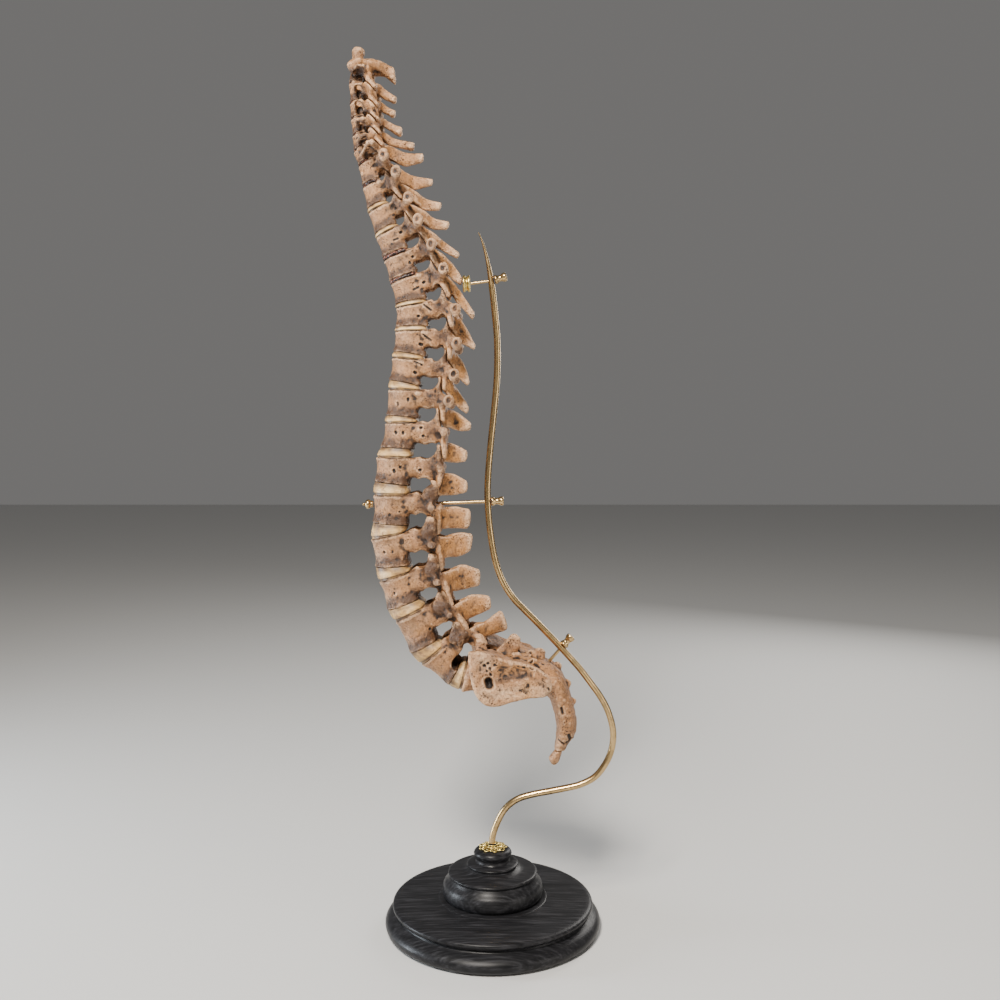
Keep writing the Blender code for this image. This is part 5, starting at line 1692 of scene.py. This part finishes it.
class SPINE_OT_fittings(bpy.types.Operator):
    """Builds the clamp, the three pins and the four finials"""
    bl_idname = "spine.fittings"
    bl_label = "Clamp, Pins and Finials"
    bl_options = {"REGISTER", "UNDO"}

    def execute(self, context):
        settings = context.scene.spine_stand
        brass = brass_of(settings)
        gilt = gilt_of(settings)
        tilt = math.radians(CLAMP_TILT)
        axis = (math.cos(tilt), math.sin(tilt))
        finish(turned("clamp_pad", CLAMP_PROFILE, CLAMP_FRONT, axis, 40), gilt, "stand_clamp")
        rear = CLAMP_PROFILE[0][1] + FITTING_GAP
        pin_start = (CLAMP_FRONT[0] + axis[0] * rear, CLAMP_FRONT[1] + axis[1] * rear)
        crossings = (("top", pin_start, TOP_CROSSING, TOP_FINIAL_TILT),
                     ("middle", MIDDLE_PIN_START, MIDDLE_CROSSING, None),
                     ("lower", LOWER_PIN_START, LOWER_CROSSING, None))
        rod_radius = settings.rod_radius / MM
        for level, start, crossing, lean in crossings:
            begin = in_side(*start)
            meet = in_side(*crossing)
            along = (meet - begin).normalized()
            end = meet - along * (rod_radius - 0.2)
            radius = PIN_RADII[level]
            shank = limb([(*begin, radius, radius), (*end, radius, radius)], sides=18, blunt=0.1)
            pin = object_of("pin_" + level, shank)
            shade(pin, 50)
            finish(pin, brass, "stand_pin_" + level)
            direction = (along.x, along.z)
            if lean is not None:
                direction = (math.cos(math.radians(lean)), math.sin(math.radians(lean)))
            seat = (crossing[0] + direction[0] * rod_radius, crossing[1] + direction[1] * rod_radius)
            finial = turned("finial_" + level, FINIAL_PROFILE, seat, direction, 32)
            finish(finial, brass, "stand_finial_" + level)
        front = turned("finial_front", FRONT_FINIAL_PROFILE, FRONT_FINIAL_SEAT, (-1, 0), 32)
        finish(front, brass, "stand_finial_front")
        return {"FINISHED"}


def soft_box(name, place, target, size, power, colour=(1, 1, 1)):
    """A rectangular lamp that points at the target."""
    light = bpy.data.lights.new(name, "AREA")
    light.shape = "RECTANGLE"
    light.size, light.size_y = size
    light.energy = power
    light.color = colour
    obj = bpy.data.objects.new(name, light)
    obj.location = place
    obj.rotation_euler = (Vector(target) - Vector(place)).to_track_quat("-Z", "Y").to_euler()
    bpy.context.scene.collection.objects.link(obj)


class SPINE_OT_studio(bpy.types.Operator):
    """Sets the plain floor, the soft lights and the camera"""
    bl_idname = "spine.studio"
    bl_label = "Studio"
    bl_options = {"REGISTER", "UNDO"}

    def execute(self, context):
        scene = context.scene
        settings = scene.spine_studio
        bm = bmesh.new()
        bmesh.ops.create_grid(bm, x_segments=1, y_segments=1, size=6.0)
        bmesh.ops.translate(bm, vec=(0, 0, -0.0002), verts=bm.verts)
        floor = object_of("floor", bm)
        made, _, shader, _ = tree_of("floor")
        shader.inputs["Base Color"].default_value = (*settings.floor_colour, 1)
        shader.inputs["Roughness"].default_value = 0.6
        floor.data.materials.append(made)
        world = scene.world or bpy.data.worlds.new("studio")
        scene.world = world
        world.use_nodes = True
        sky = world.node_tree.nodes["Background"]
        sky.inputs["Color"].default_value = (0.84, 0.82, 0.80, 1)
        sky.inputs["Strength"].default_value = 0.2
        middle = (-0.03, 0, 0.42)
        soft_box("key", (-0.35, -1.1, 1.45), middle, (0.35, 0.4), 60, (1.0, 0.94, 0.86))
        soft_box("edge", (-1.15, 0.02, 0.2), middle, (0.2, 0.8), 22, (0.84, 0.92, 1.0))
        soft_box("fill", (1.2, -0.8, 0.5), middle, (0.5, 0.9), 6, (1.0, 0.94, 0.88))
        soft_box("rear", (0.8, 1.2, 0.9), middle, (0.6, 0.9), 12, (1.0, 0.97, 0.93))
        camera = bpy.data.cameras.new("camera")
        camera.lens = settings.lens
        camera.sensor_width = 36.0
        camera.shift_y = -0.06
        camera.clip_start = 0.01
        eye = bpy.data.objects.new("camera", camera)
        eye.location = (settings.camera_side, -settings.camera_distance, settings.camera_height)
        eye.rotation_euler = (math.pi / 2, 0, 0)
        scene.collection.objects.link(eye)
        scene.camera = eye
        return {"FINISHED"}


class SPINE_PT_panel(bpy.types.Panel):
    """Lists the settings and the pieces of the museum spine"""
    bl_idname = "SPINE_PT_panel"
    bl_label = "Museum Spine"
    bl_space_type = "VIEW_3D"
    bl_region_type = "UI"
    bl_category = "Spine"

    def draw(self, context):
        layout = self.layout
        for group, title in ((context.scene.spine_bone, "Bone"), (context.scene.spine_stand, "Stand"),
                             (context.scene.spine_studio, "Studio")):
            box = layout.box()
            box.label(text=title)
            for key in group.__annotations__:
                box.prop(group, key)
        for operator in OPERATORS:
            layout.operator(operator.bl_idname)


OPERATORS = (
    SPINE_OT_studio, SPINE_OT_neck_bones, SPINE_OT_chest_bones, SPINE_OT_loin_bones, SPINE_OT_sacrum,
    SPINE_OT_coccyx, SPINE_OT_discs, SPINE_OT_base, SPINE_OT_collar, SPINE_OT_rod, SPINE_OT_fittings,
)
SETTINGS = {
    "spine_bone": SpineBoneSettings,
    "spine_stand": SpineStandSettings,
    "spine_studio": SpineStudioSettings,
}


def register():
    for name, group in SETTINGS.items():
        bpy.utils.register_class(group)
        setattr(bpy.types.Scene, name, bpy.props.PointerProperty(type=group))
    for operator in OPERATORS:
        bpy.utils.register_class(operator)
    bpy.utils.register_class(SPINE_PT_panel)


def unregister():
    bpy.utils.unregister_class(SPINE_PT_panel)
    for operator in reversed(OPERATORS):
        bpy.utils.unregister_class(operator)
    for name, group in SETTINGS.items():
        delattr(bpy.types.Scene, name)
        bpy.utils.unregister_class(group)


def main():
    register()
    for operator in OPERATORS:
        group, call = operator.bl_idname.split(".")
        getattr(getattr(bpy.ops, group), call)()


if __name__ == "__main__":
    main()
